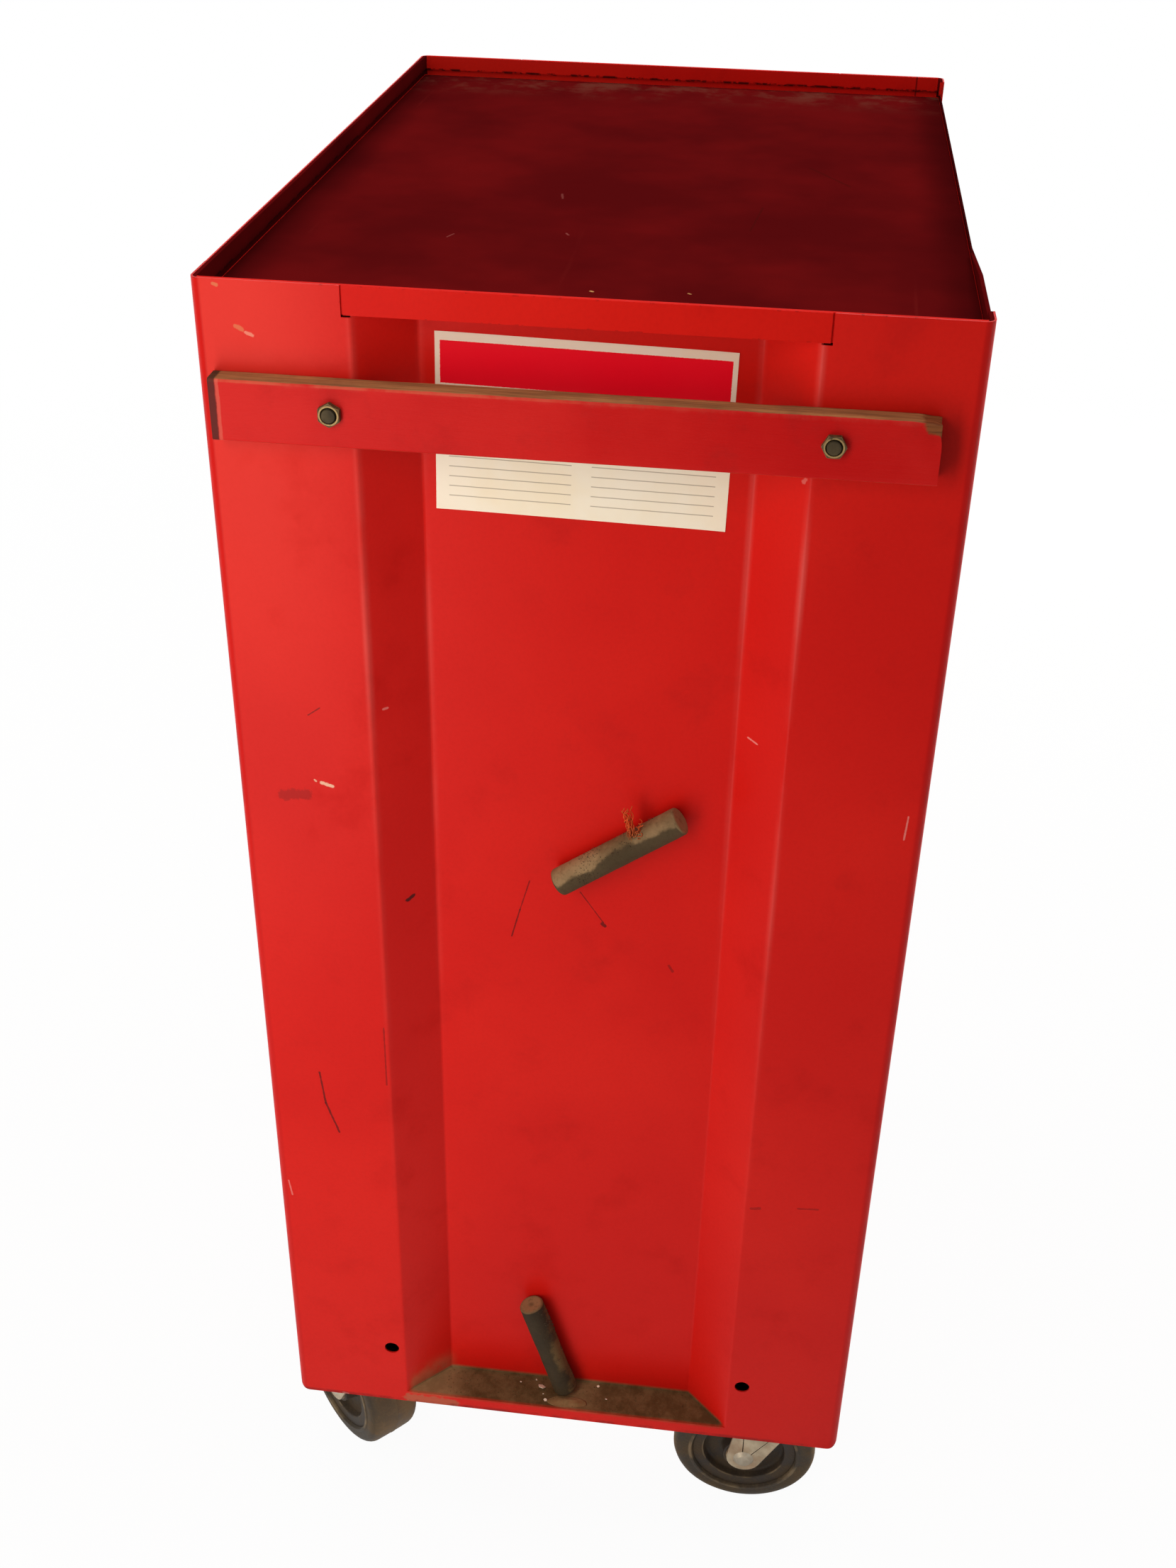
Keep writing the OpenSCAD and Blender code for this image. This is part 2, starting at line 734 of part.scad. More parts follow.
// Key plug, rod and crank turn as one piece
module lock_rod() {
    front_y = -half_d - barrel_flange_t;
    pin = spun([crank_r, 0], crank_rest);
    color("goldenrod") difference() {
        union() {
            on_lock_axis(plug_d, front_y, -half_d + barrel_l + barrel_flange_t);
            on_lock_axis(lock_rod_d, -half_d + barrel_l, crank_y + lock_bar_t / 2);
            translate([lock_x, 0, lock_z]) along_y(crank_y, crank_y + lock_bar_t)
                polygon(link_outline(crank_boss_r, crank_eye_r, crank_r, crank_rest));
            translate([lock_x + pin.x, crank_y + lock_bar_t / 2, lock_z + pin.y]) rotate([-90, 0, 0])
                cylinder(d = crank_pin_d, h = bar_back_y - crank_y - lock_bar_t / 2);
        }
        translate([lock_x - key_slot_w / 2, front_y - cut, lock_z - key_slot_h / 2])
            cube([key_slot_w, key_slot_l + cut, key_slot_h]);
    }
}

// Outline of a link from a round of radius r1 at the origin to one of radius r2 at the given distance
function link_outline(r1, r2, distance, angle) =
    let (lean = acos((r1 - r2) / distance), n = steps(180))
    concat([for (i = [0:n]) spun([r1, 0], angle + lean + (360 - 2 * lean) * i / n)],
           [for (i = [0:n]) spun([distance, 0], angle) + spun([r2, 0], angle - lean + 2 * lean * i / n)]);

module lock_bar() {
    slot_z = lock_z + lock_travel / 2;
    slot_h = crank_pin_d + 2 * slot_gap;
    slot_l = crank_r * (1 - cos(crank_rest)) + slot_h;
    top = slot_z + slot_h / 2 + bar_margin;
    bottom = finger_z(DRAWERS - 1) - bar_margin;
    color("silver") {
        difference() {
            translate([bar_x - lock_bar_w / 2, bar_y, bottom]) cube([lock_bar_w, lock_bar_t, top - bottom]);
            translate([bar_x - slot_l / 2, bar_y - cut, slot_z - slot_h / 2])
                cube([slot_l, lock_bar_t + 2 * cut, slot_h]);
        }
        for (i = [0:DRAWERS - 1]) translate([bar_x - finger_w / 2, hook_y, finger_z(i)]) {
            cube([finger_w, bar_y - hook_y, lock_bar_t]);
            translate([0, 0, -hook_l]) cube([finger_w, lock_bar_t, hook_l + lock_bar_t]);
        }
    }
}

// Strap that holds the lock bar to the back panel just above finger i
module lock_bar_guide(i) {
    z = finger_z(i) + lock_bar_t + guide_up;
    difference() {
        translate([bar_x - lock_bar_w / 2 - guide_ear_w, bar_y - guide_gap - guide_t, z])
            cube([lock_bar_w + 2 * guide_ear_w, back_in_y - bar_y + guide_gap + guide_t, guide_h]);
        translate([bar_x - lock_bar_w / 2 - guide_gap, bar_y - guide_gap, z - cut])
            cube([lock_bar_w + 2 * guide_gap, back_in_y - bar_y + guide_gap + cut, guide_h + 2 * cut]);
    }
}

// Hanger under the tray that carries the back end of the lock rod
module lock_rod_hanger() {
    y = crank_y - hanger_gap - hanger_t;
    difference() {
        translate([lock_x - lock_rod_d, y, lock_z - lock_rod_d])
            cube([2 * lock_rod_d, hanger_t, tray_under_z - lock_z + lock_rod_d]);
        on_lock_axis(lock_rod_d + 2 * run_clear, y - cut, y + hanger_t + cut);
    }
}

module lock_guides() {
    color("gray") {
        for (i = [1, DRAWERS - 2]) lock_bar_guide(i);
        lock_rod_hanger();
    }
}

// Push rail

module wood_push_rail() {
    face = [[half_w, -rail_h / 2], [half_w + rail_t - rail_chamfer, -rail_h / 2],
            [half_w + rail_t, -rail_h / 2 + rail_chamfer], [half_w + rail_t, rail_h / 2 - rail_chamfer],
            [half_w + rail_t - rail_chamfer, rail_h / 2], [half_w, rail_h / 2]];
    color("indianred") difference() {
        translate([0, 0, rail_z])
            along_y(rail_shift - rail_l / 2, rail_shift + rail_l / 2) polygon(face);
        rail_bolt_places() translate([0, 0, -cut])
            cylinder(d = rail_bolt_d + 2 * bolt_clear, h = rail_t + 2 * cut);
    }
}

// Places children on both rail bolts, with +Z pointing out of the end panel
module rail_bolt_places() {
    for (side = [-1, 1])
        translate([half_w, side * fixing_spacing / 2, rail_bolt_z]) rotate([0, 90, 0]) children();
}

module push_rail_bolts() {
    color("dimgray") rail_bolt_places() {
        translate([0, 0, -sheet]) cylinder(d = rail_bolt_d, h = sheet + rail_t + rail_nut_h + bolt_proud);
        translate([0, 0, -sheet - head_h]) hexagon(rail_nut_af, head_h);
    }
}

module push_rail_nuts() {
    color("goldenrod") rail_bolt_places() translate([0, 0, rail_t]) difference() {
        hexagon(rail_nut_af, rail_nut_h);
        translate([0, 0, -cut]) cylinder(d = rail_bolt_d + 2 * run_clear, h = rail_nut_h + 2 * cut);
    }
}

// Bar magnets

// A round bar with chamfered ends, standing on its end
module bar_magnet() {
    r = magnet_d / 2;
    rotate_extrude() polygon([[0, 0], [r - magnet_edge, 0], [r, magnet_edge], [r, magnet_l - magnet_edge],
                              [r - magnet_edge, magnet_l], [0, magnet_l]]);
}

module bar_magnet_upper() {
    color("rosybrown") translate([magnet_x, upper_magnet_y, body_z + upper_magnet_up])
        rotate([upper_magnet_tilt - 90, 0, 0]) translate([0, 0, -magnet_l / 2]) bar_magnet();
}

module bar_magnet_lower() {
    foot_z = pan_top_z + magnet_d / 2 * sin(lower_magnet_lean) + magnet_rest;
    color("rosybrown") translate([magnet_x, lower_magnet_y, foot_z])
        rotate([lower_magnet_lean, 0, 0]) bar_magnet();
}

// Casters

module caster_doublers() {
    color("dimgray") difference() {
        for (sx = [-1, 1], sy = [-1, 1])
            translate([sx * caster_x - plate_l / 2 + doubler_in,
                       sy * caster_y - plate_w / 2 + doubler_in, pan_top_z])
                cube([plate_l - 2 * doubler_in, plate_w - 2 * doubler_in, doubler_t]);
        caster_bolt_holes();
    }
}

module caster_plates() {
    color("darkgray") difference() {
        union() {
            for (sx = [-1, 1], sy = [-1, 1])
                translate([sx * caster_x - plate_l / 2, sy * caster_y - plate_w / 2, plate_z])
                    cube([plate_l, plate_w, plate_t]);
            for (sy = [-1, 1]) translate([caster_x, sy * caster_y, plate_z - (race_h - race_gap) / 2])
                race_half();
        }
        caster_bolt_holes();
    }
}

// One half of a swivel race, open in the middle for the kingpin
module race_half() {
    h = (race_h - race_gap) / 2;
    difference() {
        cylinder(d = race_d, h = h);
        translate([0, 0, -cut]) cylinder(d = race_bore_d, h = h + 2 * cut);
    }
}

module caster_bolts() {
    stack = plate_t + sheet + doubler_t;
    color("dimgray") caster_bolt_places() translate([0, 0, plate_z]) {
        cylinder(d = bolt_d, h = stack + nut_h);
        translate([0, 0, -head_h]) hexagon(nut_af, head_h);
        translate([0, 0, stack]) hexagon(nut_af, nut_h);
    }
}

module swivel_kingpins() {
    color("dimgray") for (sy = [-1, 1]) translate([caster_x, sy * caster_y, 0]) {
        translate([0, 0, crown_z - race_gap]) cylinder(d = kingpin_d, h = plate_z - crown_z + race_gap);
        translate([0, 0, crown_z - race_gap - head_h]) cylinder(d = kingpin_head_d, h = head_h);
    }
}

// Direction from the centre of a circle to the point where a line from p touches it
function touch_angle(p, centre, r, side) =
    atan2(p.y - centre.y, p.x - centre.x) + side * acos(r / norm(p - centre));

// Outline of a fork leg from the crown to the axle
function leg_outline(reach, crown, top) =
    let (axle = [reach, wheel_r], front = [-crown / 2, top], back = [crown / 2, top],
         from = touch_angle(front, axle, leg_r, 1), to = touch_angle(back, axle, leg_r, -1) + 360,
         n = steps(to - from))
    concat([front], [for (i = [0:n]) axle + leg_r * spun([1, 0], from + (to - from) * i / n)], [back]);

// Fork with a crown of the given length and height, whose wheel trails along +X by the given reach
module fork(reach, crown, z) {
    difference() {
        union() {
            translate([-crown / 2, -fork_out_w / 2, z]) cube([crown, fork_out_w, fork_sheet]);
            for (side = [-1, 1]) translate([0, side * (fork_in_w + fork_sheet) / 2, 0])
                along_y(-fork_sheet / 2, fork_sheet / 2) polygon(leg_outline(reach, crown, z + fork_sheet));
        }
        translate([reach, 0, wheel_r]) rotate([90, 0, 0])
            cylinder(d = axle_d + 2 * bolt_clear, h = fork_out_w + 2 * cut, center = true);
    }
}

module swivel_fork() {
    color("gainsboro") difference() {
        union() {
            fork(trail, crown_l, crown_z);
            translate([0, 0, crown_z + fork_sheet]) race_half();
        }
        translate([0, 0, crown_z - cut]) cylinder(d = kingpin_d + 2 * run_clear, h = fork_sheet + 2 * cut);
    }
}

// Riveted axle across a fork
module axle(reach) {
    color("silver") translate([reach, 0, wheel_r]) rotate([90, 0, 0]) {
        cylinder(d = axle_d, h = fork_out_w, center = true);
        for (side = [0, 1]) mirror([0, 0, side]) translate([0, 0, fork_out_w / 2])
            cylinder(d1 = axle_head_d, d2 = axle_d, h = axle_head_h);
    }
}

module hub(reach) {
    boss_half_w = fork_in_w / 2 - hub_clear;
    boss_r = boss_d / 2;
    web_r = web_d / 2;
    seat_r = seat_d / 2;
    bore_r = axle_d / 2 + run_clear;
    color("black") translate([reach, 0, wheel_r]) rotate([90, 0, 0]) rotate_extrude() polygon([
        [bore_r, -boss_half_w], [boss_r, -boss_half_w], [boss_r, -web_half_w], [web_r, -web_half_w],
        [web_r, -rim_half_w], [seat_r, -rim_half_w], [seat_r, rim_half_w], [web_r, rim_half_w],
        [web_r, web_half_w], [boss_r, web_half_w], [boss_r, boss_half_w], [bore_r, boss_half_w]]);
}

module tyre(reach) {
    inner_r = seat_d / 2 + seat_clear;
    flank_r = wheel_r - shoulder_r;
    side = wheel_w / 2;
    tread = [for (i = [0:steps(90)]) let (a = 90 * i / steps(90))
        [flank_r + shoulder_r * sin(a), -side + shoulder_r - shoulder_r * cos(a)]];
    edge = concat([[inner_r, -side + ridge_h], [inner_r + ridge_h, -side], [inner_r + ridge_w, -side],
                   [inner_r + ridge_w + ridge_h, -side + ridge_h],
                   [flank_r - ridge_h, -side + ridge_h]], tread);
    color("dimgray") translate([reach, 0, wheel_r]) rotate([90, 0, 0])
        rotate_extrude($fn = 96) polygon(concat(edge, [for (p = reversed(edge)) [p.x, -p.y]]));
}

// Places a caster piece under its plate, turned about the swivel axis
module under_plate(sx, sy, turn) {
    translate([sx * caster_x, sy * caster_y, 0]) rotate(turn) children();
}

module rigid_forks() {
    color("gainsboro") for (sy = [-1, 1]) under_plate(-1, sy, 180) fork(0, rigid_crown_l, rigid_crown_z);
}

module rigid_axles() {
    for (sy = [-1, 1]) under_plate(-1, sy, 180) axle(0);
}

// Side, depth position, turn and trail of each wheel
wheel_places = [["front_swivel", 1, -1, front_turn, trail], ["back_swivel", 1, 1, back_turn, trail],
                ["front_rigid", -1, -1, 180, 0], ["back_rigid", -1, 1, 180, 0]];

right_side_panel();
left_side_panel();
back_panel();
base_pan();
top_tray();
front_header();
front_sill();
corner_posts();
slide_rails();
wood_push_rail();
push_rail_bolts();
push_rail_nuts();
bar_magnet_upper();
bar_magnet_lower();
lock_barrel();
lock_rod();
lock_bar();
lock_guides();
caster_doublers();
caster_plates();
caster_bolts();
swivel_kingpins();
rigid_forks();
rigid_axles();
under_plate(1, -1, front_turn) swivel_fork();  // front_swivel_fork
under_plate(1, 1, back_turn) swivel_fork();  // back_swivel_fork
under_plate(1, -1, front_turn) axle(trail);  // front_swivel_axle
under_plate(1, 1, back_turn) axle(trail);  // back_swivel_axle
for (w = wheel_places) {
    under_plate(w[1], w[2], w[3]) tyre(w[4]);
    under_plate(w[1], w[2], w[3]) hub(w[4]);
}
for (i = [0:DRAWERS - 1]) {
    drawer_box(i);
    drawer_front(i);
    drawer_pull(i);
    drawer_runners(i);
}
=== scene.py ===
"""Looks of a rolling tool cabinet: worn red enamel, a timber push rail, bar magnets and plate casters.

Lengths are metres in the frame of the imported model: +Z up, drawers face -Y, the push rail end faces +X.
"""

from __future__ import annotations

import json
import logging
import math
import random
from dataclasses import dataclass
from enum import Enum
from typing import Any, Iterable, Sequence

import bmesh
import bpy
from mathutils import Matrix, Vector, noise

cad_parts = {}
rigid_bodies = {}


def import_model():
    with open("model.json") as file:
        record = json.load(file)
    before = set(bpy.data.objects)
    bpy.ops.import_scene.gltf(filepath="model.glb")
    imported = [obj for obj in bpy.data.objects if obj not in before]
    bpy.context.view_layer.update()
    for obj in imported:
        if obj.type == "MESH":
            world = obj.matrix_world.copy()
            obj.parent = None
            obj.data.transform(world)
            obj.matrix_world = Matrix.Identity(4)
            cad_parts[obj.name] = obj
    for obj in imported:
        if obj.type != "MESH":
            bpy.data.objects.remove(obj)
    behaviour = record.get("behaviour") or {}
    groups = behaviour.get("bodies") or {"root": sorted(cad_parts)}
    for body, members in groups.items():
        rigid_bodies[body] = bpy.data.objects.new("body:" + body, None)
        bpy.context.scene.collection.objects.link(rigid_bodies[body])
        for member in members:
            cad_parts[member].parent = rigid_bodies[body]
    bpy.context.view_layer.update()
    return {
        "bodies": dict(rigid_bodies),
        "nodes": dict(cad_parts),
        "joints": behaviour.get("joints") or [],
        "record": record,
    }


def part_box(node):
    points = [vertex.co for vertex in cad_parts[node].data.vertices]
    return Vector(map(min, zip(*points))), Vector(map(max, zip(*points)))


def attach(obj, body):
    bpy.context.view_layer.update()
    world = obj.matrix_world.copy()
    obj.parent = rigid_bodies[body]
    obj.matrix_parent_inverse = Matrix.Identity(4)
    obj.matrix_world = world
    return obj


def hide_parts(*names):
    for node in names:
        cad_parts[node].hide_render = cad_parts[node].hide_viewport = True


LOG = logging.getLogger("cabinet")
MM = 0.001
JOINED = 1e-6
DRAWERS = 6
Rgb = tuple[float, float, float, float]
Point = tuple[float, float, float]
Outline = list[tuple[float, float]]


def srgb(red: int, green: int, blue: int) -> Rgb:
    """Turns screen values into a linear colour.

    Args:
        red: Red from 0 to 255.
        green: Green from 0 to 255.
        blue: Blue from 0 to 255.

    Returns:
        The colour as Blender's sockets take it.
    """
    linear = [c / 12.92 if c <= 0.04045 else ((c + 0.055) / 1.055) ** 2.4
              for c in (red / 255, green / 255, blue / 255)]
    return (linear[0], linear[1], linear[2], 1.0)


class Value:
    """A socket of a node tree that takes part in arithmetic."""

    def __init__(self, tree: NodeTree, socket: bpy.types.NodeSocket) -> None:
        """Wraps one output socket of a tree."""
        self.tree = tree
        self.socket = socket

    def _math(self, operation: str, *values: float | Value) -> Value:
        """Adds one Math node on the given values."""
        return self.tree.node("ShaderNodeMath", {"operation": operation}, dict(enumerate(values)))

    def __add__(self, other: float | Value) -> Value:
        """Sum."""
        return self._math("ADD", self, other)

    def __sub__(self, other: float | Value) -> Value:
        """Difference."""
        return self._math("SUBTRACT", self, other)

    def __rsub__(self, other: float) -> Value:
        """Difference from a number."""
        return self._math("SUBTRACT", other, self)

    def __mul__(self, other: float | Value) -> Value:
        """Product."""
        return self._math("MULTIPLY", self, other)

    __radd__ = __add__
    __rmul__ = __mul__

    def __abs__(self) -> Value:
        """Size without its sign."""
        return self._math("ABSOLUTE", self)

    def most(self, other: float | Value) -> Value:
        """The larger of two values."""
        return self._math("MAXIMUM", self, other)

    def least(self, other: float | Value) -> Value:
        """The smaller of two values."""
        return self._math("MINIMUM", self, other)

    def wave(self) -> Value:
        """Sine of the value."""
        return self._math("SINE", self)

    def root(self) -> Value:
        """Square root."""
        return self._math("SQRT", self)

    def smooth(self, start: float, end: float) -> Value:
        """Rises smoothly from 0 at start to 1 at end, or falls where start is the larger."""
        return self.tree.node("ShaderNodeMapRange", {"interpolation_type": "SMOOTHSTEP"},
                              {0: self, 1: start, 2: end})

    def between(self, low: float, high: float, soft: float) -> Value:
        """1 inside a range, fading over a soft border outside it."""
        return self.smooth(low - soft, low) * self.smooth(high + soft, high)


class NodeTree:
    """A node tree that is filled by one generic method."""

    def __init__(self, tree: bpy.types.NodeTree) -> None:
        """Starts from an empty tree."""
        self.tree = tree
        self.tree.nodes.clear()

    def node(self, kind: str, settings: dict[str, Any] | None = None,
             inputs: dict[int | str, Any] | None = None, output: int | str = 0) -> Value:
        """Adds a node.

        Args:
            kind: Blender's name of the node type.
            settings: Properties that are set before the sockets.
            inputs: Socket index or name to a number, a colour or a linked value.
            output: Socket that is returned.

        Returns:
            The chosen output.
        """
        made = self.tree.nodes.new(kind)
        for key, value in (settings or {}).items():
            setattr(made, key, value)
        for key, value in (inputs or {}).items():
            if isinstance(value, Value):
                self.tree.links.new(value.socket, made.inputs[key])
            else:
                made.inputs[key].default_value = value
        return Value(self, made.outputs[output]) if made.outputs else None


class Shader(NodeTree):
    """One material, written as expressions on Object coordinates."""

    def __init__(self, name: str) -> None:
        """Makes an empty material and its coordinates."""
        self.material = bpy.data.materials.new(name)
        self.material.use_nodes = True
        super().__init__(self.material.node_tree)
        self.place = self.node("ShaderNodeTexCoord", output="Object")
        self.x, self.y, self.z = self.split(self.place)
        self.facing = self.node("ShaderNodeTexCoord", output="Normal")

    def split(self, vector: Value) -> tuple[Value, Value, Value]:
        """The three parts of a vector."""
        first = self.node("ShaderNodeSeparateXYZ", None, {0: vector})
        outputs = first.socket.node.outputs
        return first, Value(self, outputs[1]), Value(self, outputs[2])

    def noise(self, scale: float, detail: float = 2.0, rough: float = 0.5,
              stretch: Point | None = None) -> Value:
        """Smooth noise on Object coordinates.

        Args:
            scale: Waves per metre.
            detail: Octaves.
            rough: Share of each finer octave.
            stretch: Factors on X, Y and Z before the noise.

        Returns:
            A value around 0.5.
        """
        where = self.place
        if stretch is not None:
            where = self.node("ShaderNodeMapping", None, {"Vector": where, "Scale": stretch})
        return self.node("ShaderNodeTexNoise", None,
                         {"Vector": where, "Scale": scale, "Detail": detail, "Roughness": rough})

    def mix(self, share: Value | float, first: Value | Rgb, second: Value | Rgb) -> Value:
        """Blends two colours."""
        return self.node("ShaderNodeMix", {"data_type": "RGBA"}, {0: share, 6: first, 7: second}, 2)

    def layers(self, colour: Value | Rgb, *coats: tuple[Value, Value | Rgb | Enum]) -> Value:
        """Lays colours over one another.

        Args:
            colour: Colour below.
            coats: Share and colour of each coat, the lowest first.

        Returns:
            The colour with all its coats.
        """
        for share, tint in coats:
            colour = self.mix(share, colour, tint.value if isinstance(tint, Enum) else tint)
        return colour

    def attribute(self, name: str) -> Value:
        """A number that the mesh holds on its vertices."""
        return self.node("ShaderNodeAttribute", {"attribute_name": name}, None, "Fac")

    def edges(self, radius: float) -> Value:
        """How sharply the surface turns within a radius: 0 on flats, up to about 0.3 on a square edge."""
        rounded = self.node("ShaderNodeBevel", {"samples": 4}, {"Radius": radius})
        plain = self.node("ShaderNodeNewGeometry", output="True Normal")
        kept = self.node("ShaderNodeVectorMath", {"operation": "DOT_PRODUCT"}, {0: rounded, 1: plain}, 1)
        return 1.0 - kept

    def bump(self, height: Value, distance: float) -> Value:
        """Normal of a surface raised by a height field."""
        return self.node("ShaderNodeBump", None, {"Height": height, "Distance": distance, "Strength": 1.0})

    def surface(self, colour: Value | Rgb, roughness: Value | float,
                **others: Value | float) -> bpy.types.Material:
        """Ends the tree in a Principled shader.

        Args:
            colour: Base colour.
            roughness: Roughness.
            others: Further sockets, with underscores for spaces.

        Returns:
            The finished material.
        """
        inputs = {"Base Color": colour, "Roughness": roughness}
        inputs.update({key.replace("_", " "): value for key, value in others.items()})
        body = self.node("ShaderNodeBsdfPrincipled", None, inputs)
        self.node("ShaderNodeOutputMaterial", None, {"Surface": body})
        return self.material


@dataclass(frozen=True)
class Layout:
    """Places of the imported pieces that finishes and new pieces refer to."""

    half_w: float
    half_d: float
    inner_x: float
    foot_z: float
    rim_z: float
    ledge_z: float
    tray_under_z: float
    sheet: float = 1.2 * MM
    half_mouth: float = 135 * MM
    half_recess: float = 101 * MM
    hem_h: float = 11 * MM
    seam_y: float = 206 * MM

    @property
    def recess_x(self) -> float:
        """Outer face of the recess wall."""
        return self.inner_x + self.sheet

    @property
    def tray_z(self) -> float:
        """Upper face of the tray floor."""
        return self.tray_under_z + self.sheet

    @classmethod
    def from_frame(cls) -> Layout:
        """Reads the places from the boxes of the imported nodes."""
        low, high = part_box("right_side_panel")
        return cls(half_w=high.x, half_d=high.y, inner_x=low.x, foot_z=low.z, rim_z=high.z,
                   ledge_z=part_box("base_pan")[1].z, tray_under_z=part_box("top_tray")[0].z)


class Wear(Enum):
    """Kinds of mark on the enamel, with their colours; WHITE also colours the painted highlights along the
    folds of the push end.
    """

    TAN = srgb(205, 150, 95)
    CREAM = srgb(238, 190, 160)
    DARK = srgb(70, 14, 12)
    SOOT = srgb(118, 14, 12)
    WHITE = srgb(240, 150, 140)
    DUST = srgb(160, 112, 80)


class Tint(Enum):
    """Colours laid over the enamel: painted shade and painted light, darker edges, grime, streaks, chips and
    seams.
    """

    # Painted shade along the rounded outer bends.
    BEND = srgb(184, 12, 13)
    # Painted light: the brighter upper left of the push end.
    FADED = srgb(236, 60, 48)
    # Darker colour along the outer corners and the foot.
    RUBBED = srgb(96, 10, 9)
    # Painted shade on the tray floor and inner walls, deep and paler.
    OIL_DEEP = srgb(72, 10, 13)
    OIL_THIN = srgb(96, 14, 16)
    WALL_SHADE = srgb(34, 3, 5)
    SIDE_SHADE = srgb(40, 4, 6)
    FAR_GRIME = srgb(112, 62, 50)
    STREAK = srgb(125, 34, 30)
    # Dark line under the hem: partly painted shadow, partly chips.
    HEM_CHIP = srgb(34, 8, 8)
    SEAM = srgb(70, 10, 10)


@dataclass(frozen=True)
class Mark:
    """A scratch, chip or smudge, from one point to another on the plane of its sheet, in millimetres."""

    kind: Wear
    start: tuple[float, float]
    end: tuple[float, float]
    half_w: float
    strength: float = 1.0

    def mask(self, first: Value, second: Value, ragged: Value) -> Value:
        """Covers the mark.

        Args:
            first: First coordinate on the sheet.
            second: Second coordinate on the sheet.
            ragged: Noise that frays the outline.

        Returns:
            1 on the mark and 0 off it.
        """
        (a0, b0), (a1, b1) = self.start, self.end
        length = max(math.hypot(a1 - a0, b1 - b0), 0.01)
        cos, sin = (a1 - a0) / length, (b1 - b0) / length
        a = first - a0 * MM
        b = second - b0 * MM
        past = (abs(a * cos + b * sin - length / 2 * MM) - length / 2 * MM).most(0.0)
        across = b * cos - a * sin
        distance = (across * across + past * past).root()
        reach = self.half_w * MM
        return (distance + (ragged - 0.5) * reach * 1.6).smooth(reach, reach * 0.55) * self.strength


END_MARKS = (
    Mark(Wear.TAN, (-203, 1079), (-199, 1077), 1.7, 0.8),
    Mark(Wear.CREAM, (-197, 1075.5), (-193, 1074), 1.3, 0.8),
    Mark(Wear.WHITE, (132, 1006), (131, 1004), 1.5, 0.4),
    Mark(Wear.CREAM, (-171, 769), (-164, 767), 1.6, 0.9),
    Mark(Wear.CREAM, (-176, 771), (-175, 770), 0.9, 0.7),
    Mark(Wear.SOOT, (-198, 757), (-182, 759), 5.0, 0.45),
    Mark(Wear.DARK, (-189, 511), (-186, 481), 0.9, 0.8),
    Mark(Wear.DARK, (-186, 481), (-177, 452), 1.0, 0.8),
    Mark(Wear.DARK, (-177, 821), (-169, 827), 0.6, 0.7),
    Mark(Wear.WHITE, (110, 816), (116, 815), 0.8, 0.7),
    Mark(Wear.WHITE, (217, 780), (216, 762), 0.7, 0.6),
    Mark(Wear.SOOT, (-35, 681), (-42, 655), 0.6, 0.8),
    Mark(Wear.DARK, (-42, 655), (-48, 631), 0.6, 0.75),
    Mark(Wear.SOOT, (66, 617), (69, 612), 1.2, 0.6),
    Mark(Wear.DARK, (1, 675), (18, 650), 0.5, 0.7),
    Mark(Wear.DARK, (17, 649), (19, 647), 1.5, 0.8),
    Mark(Wear.DARK, (140, 416), (146, 417), 1.6, 0.4),
    Mark(Wear.DARK, (175, 421), (190, 422), 1.0, 0.4),
    Mark(Wear.DARK, (-138, 560), (-138, 505), 0.7, 0.5),
    Mark(Wear.WHITE, (-191, 149), (-187, 148.5), 1.2, 0.8),
    Mark(Wear.WHITE, (-221, 395), (-219, 380), 0.8, 0.5),
    Mark(Wear.DARK, (-119, 667), (-116, 669), 2.0, 0.95),
    Mark(Wear.WHITE, (-128, 826), (-126, 826), 1.1, 0.6),
    Mark(Wear.TAN, (-214, 1103), (-212, 1102.6), 1.3, 0.9),
    Mark(Wear.DUST, (-132, 152), (-96, 151), 7.0, 0.55),
)
TRAY_MARKS = (
    Mark(Wear.WHITE, (50, -51), (62, -49), 0.9, 0.1),
    Mark(Wear.WHITE, (148, -35), (152, -33), 0.9, 0.15),
    Mark(Wear.TAN, (269, -4), (270, -3), 1.3, 0.8),
    Mark(Wear.TAN, (263, 54), (264, 55), 1.0, 0.7),
    Mark(Wear.WHITE, (163, -107), (171, -110), 0.7, 0.12),
    Mark(Wear.DARK, (-60, 120), (-10, 150), 1.4, 0.5),
    Mark(Wear.DARK, (60, 90), (120, 84), 0.9, 0.5),
)


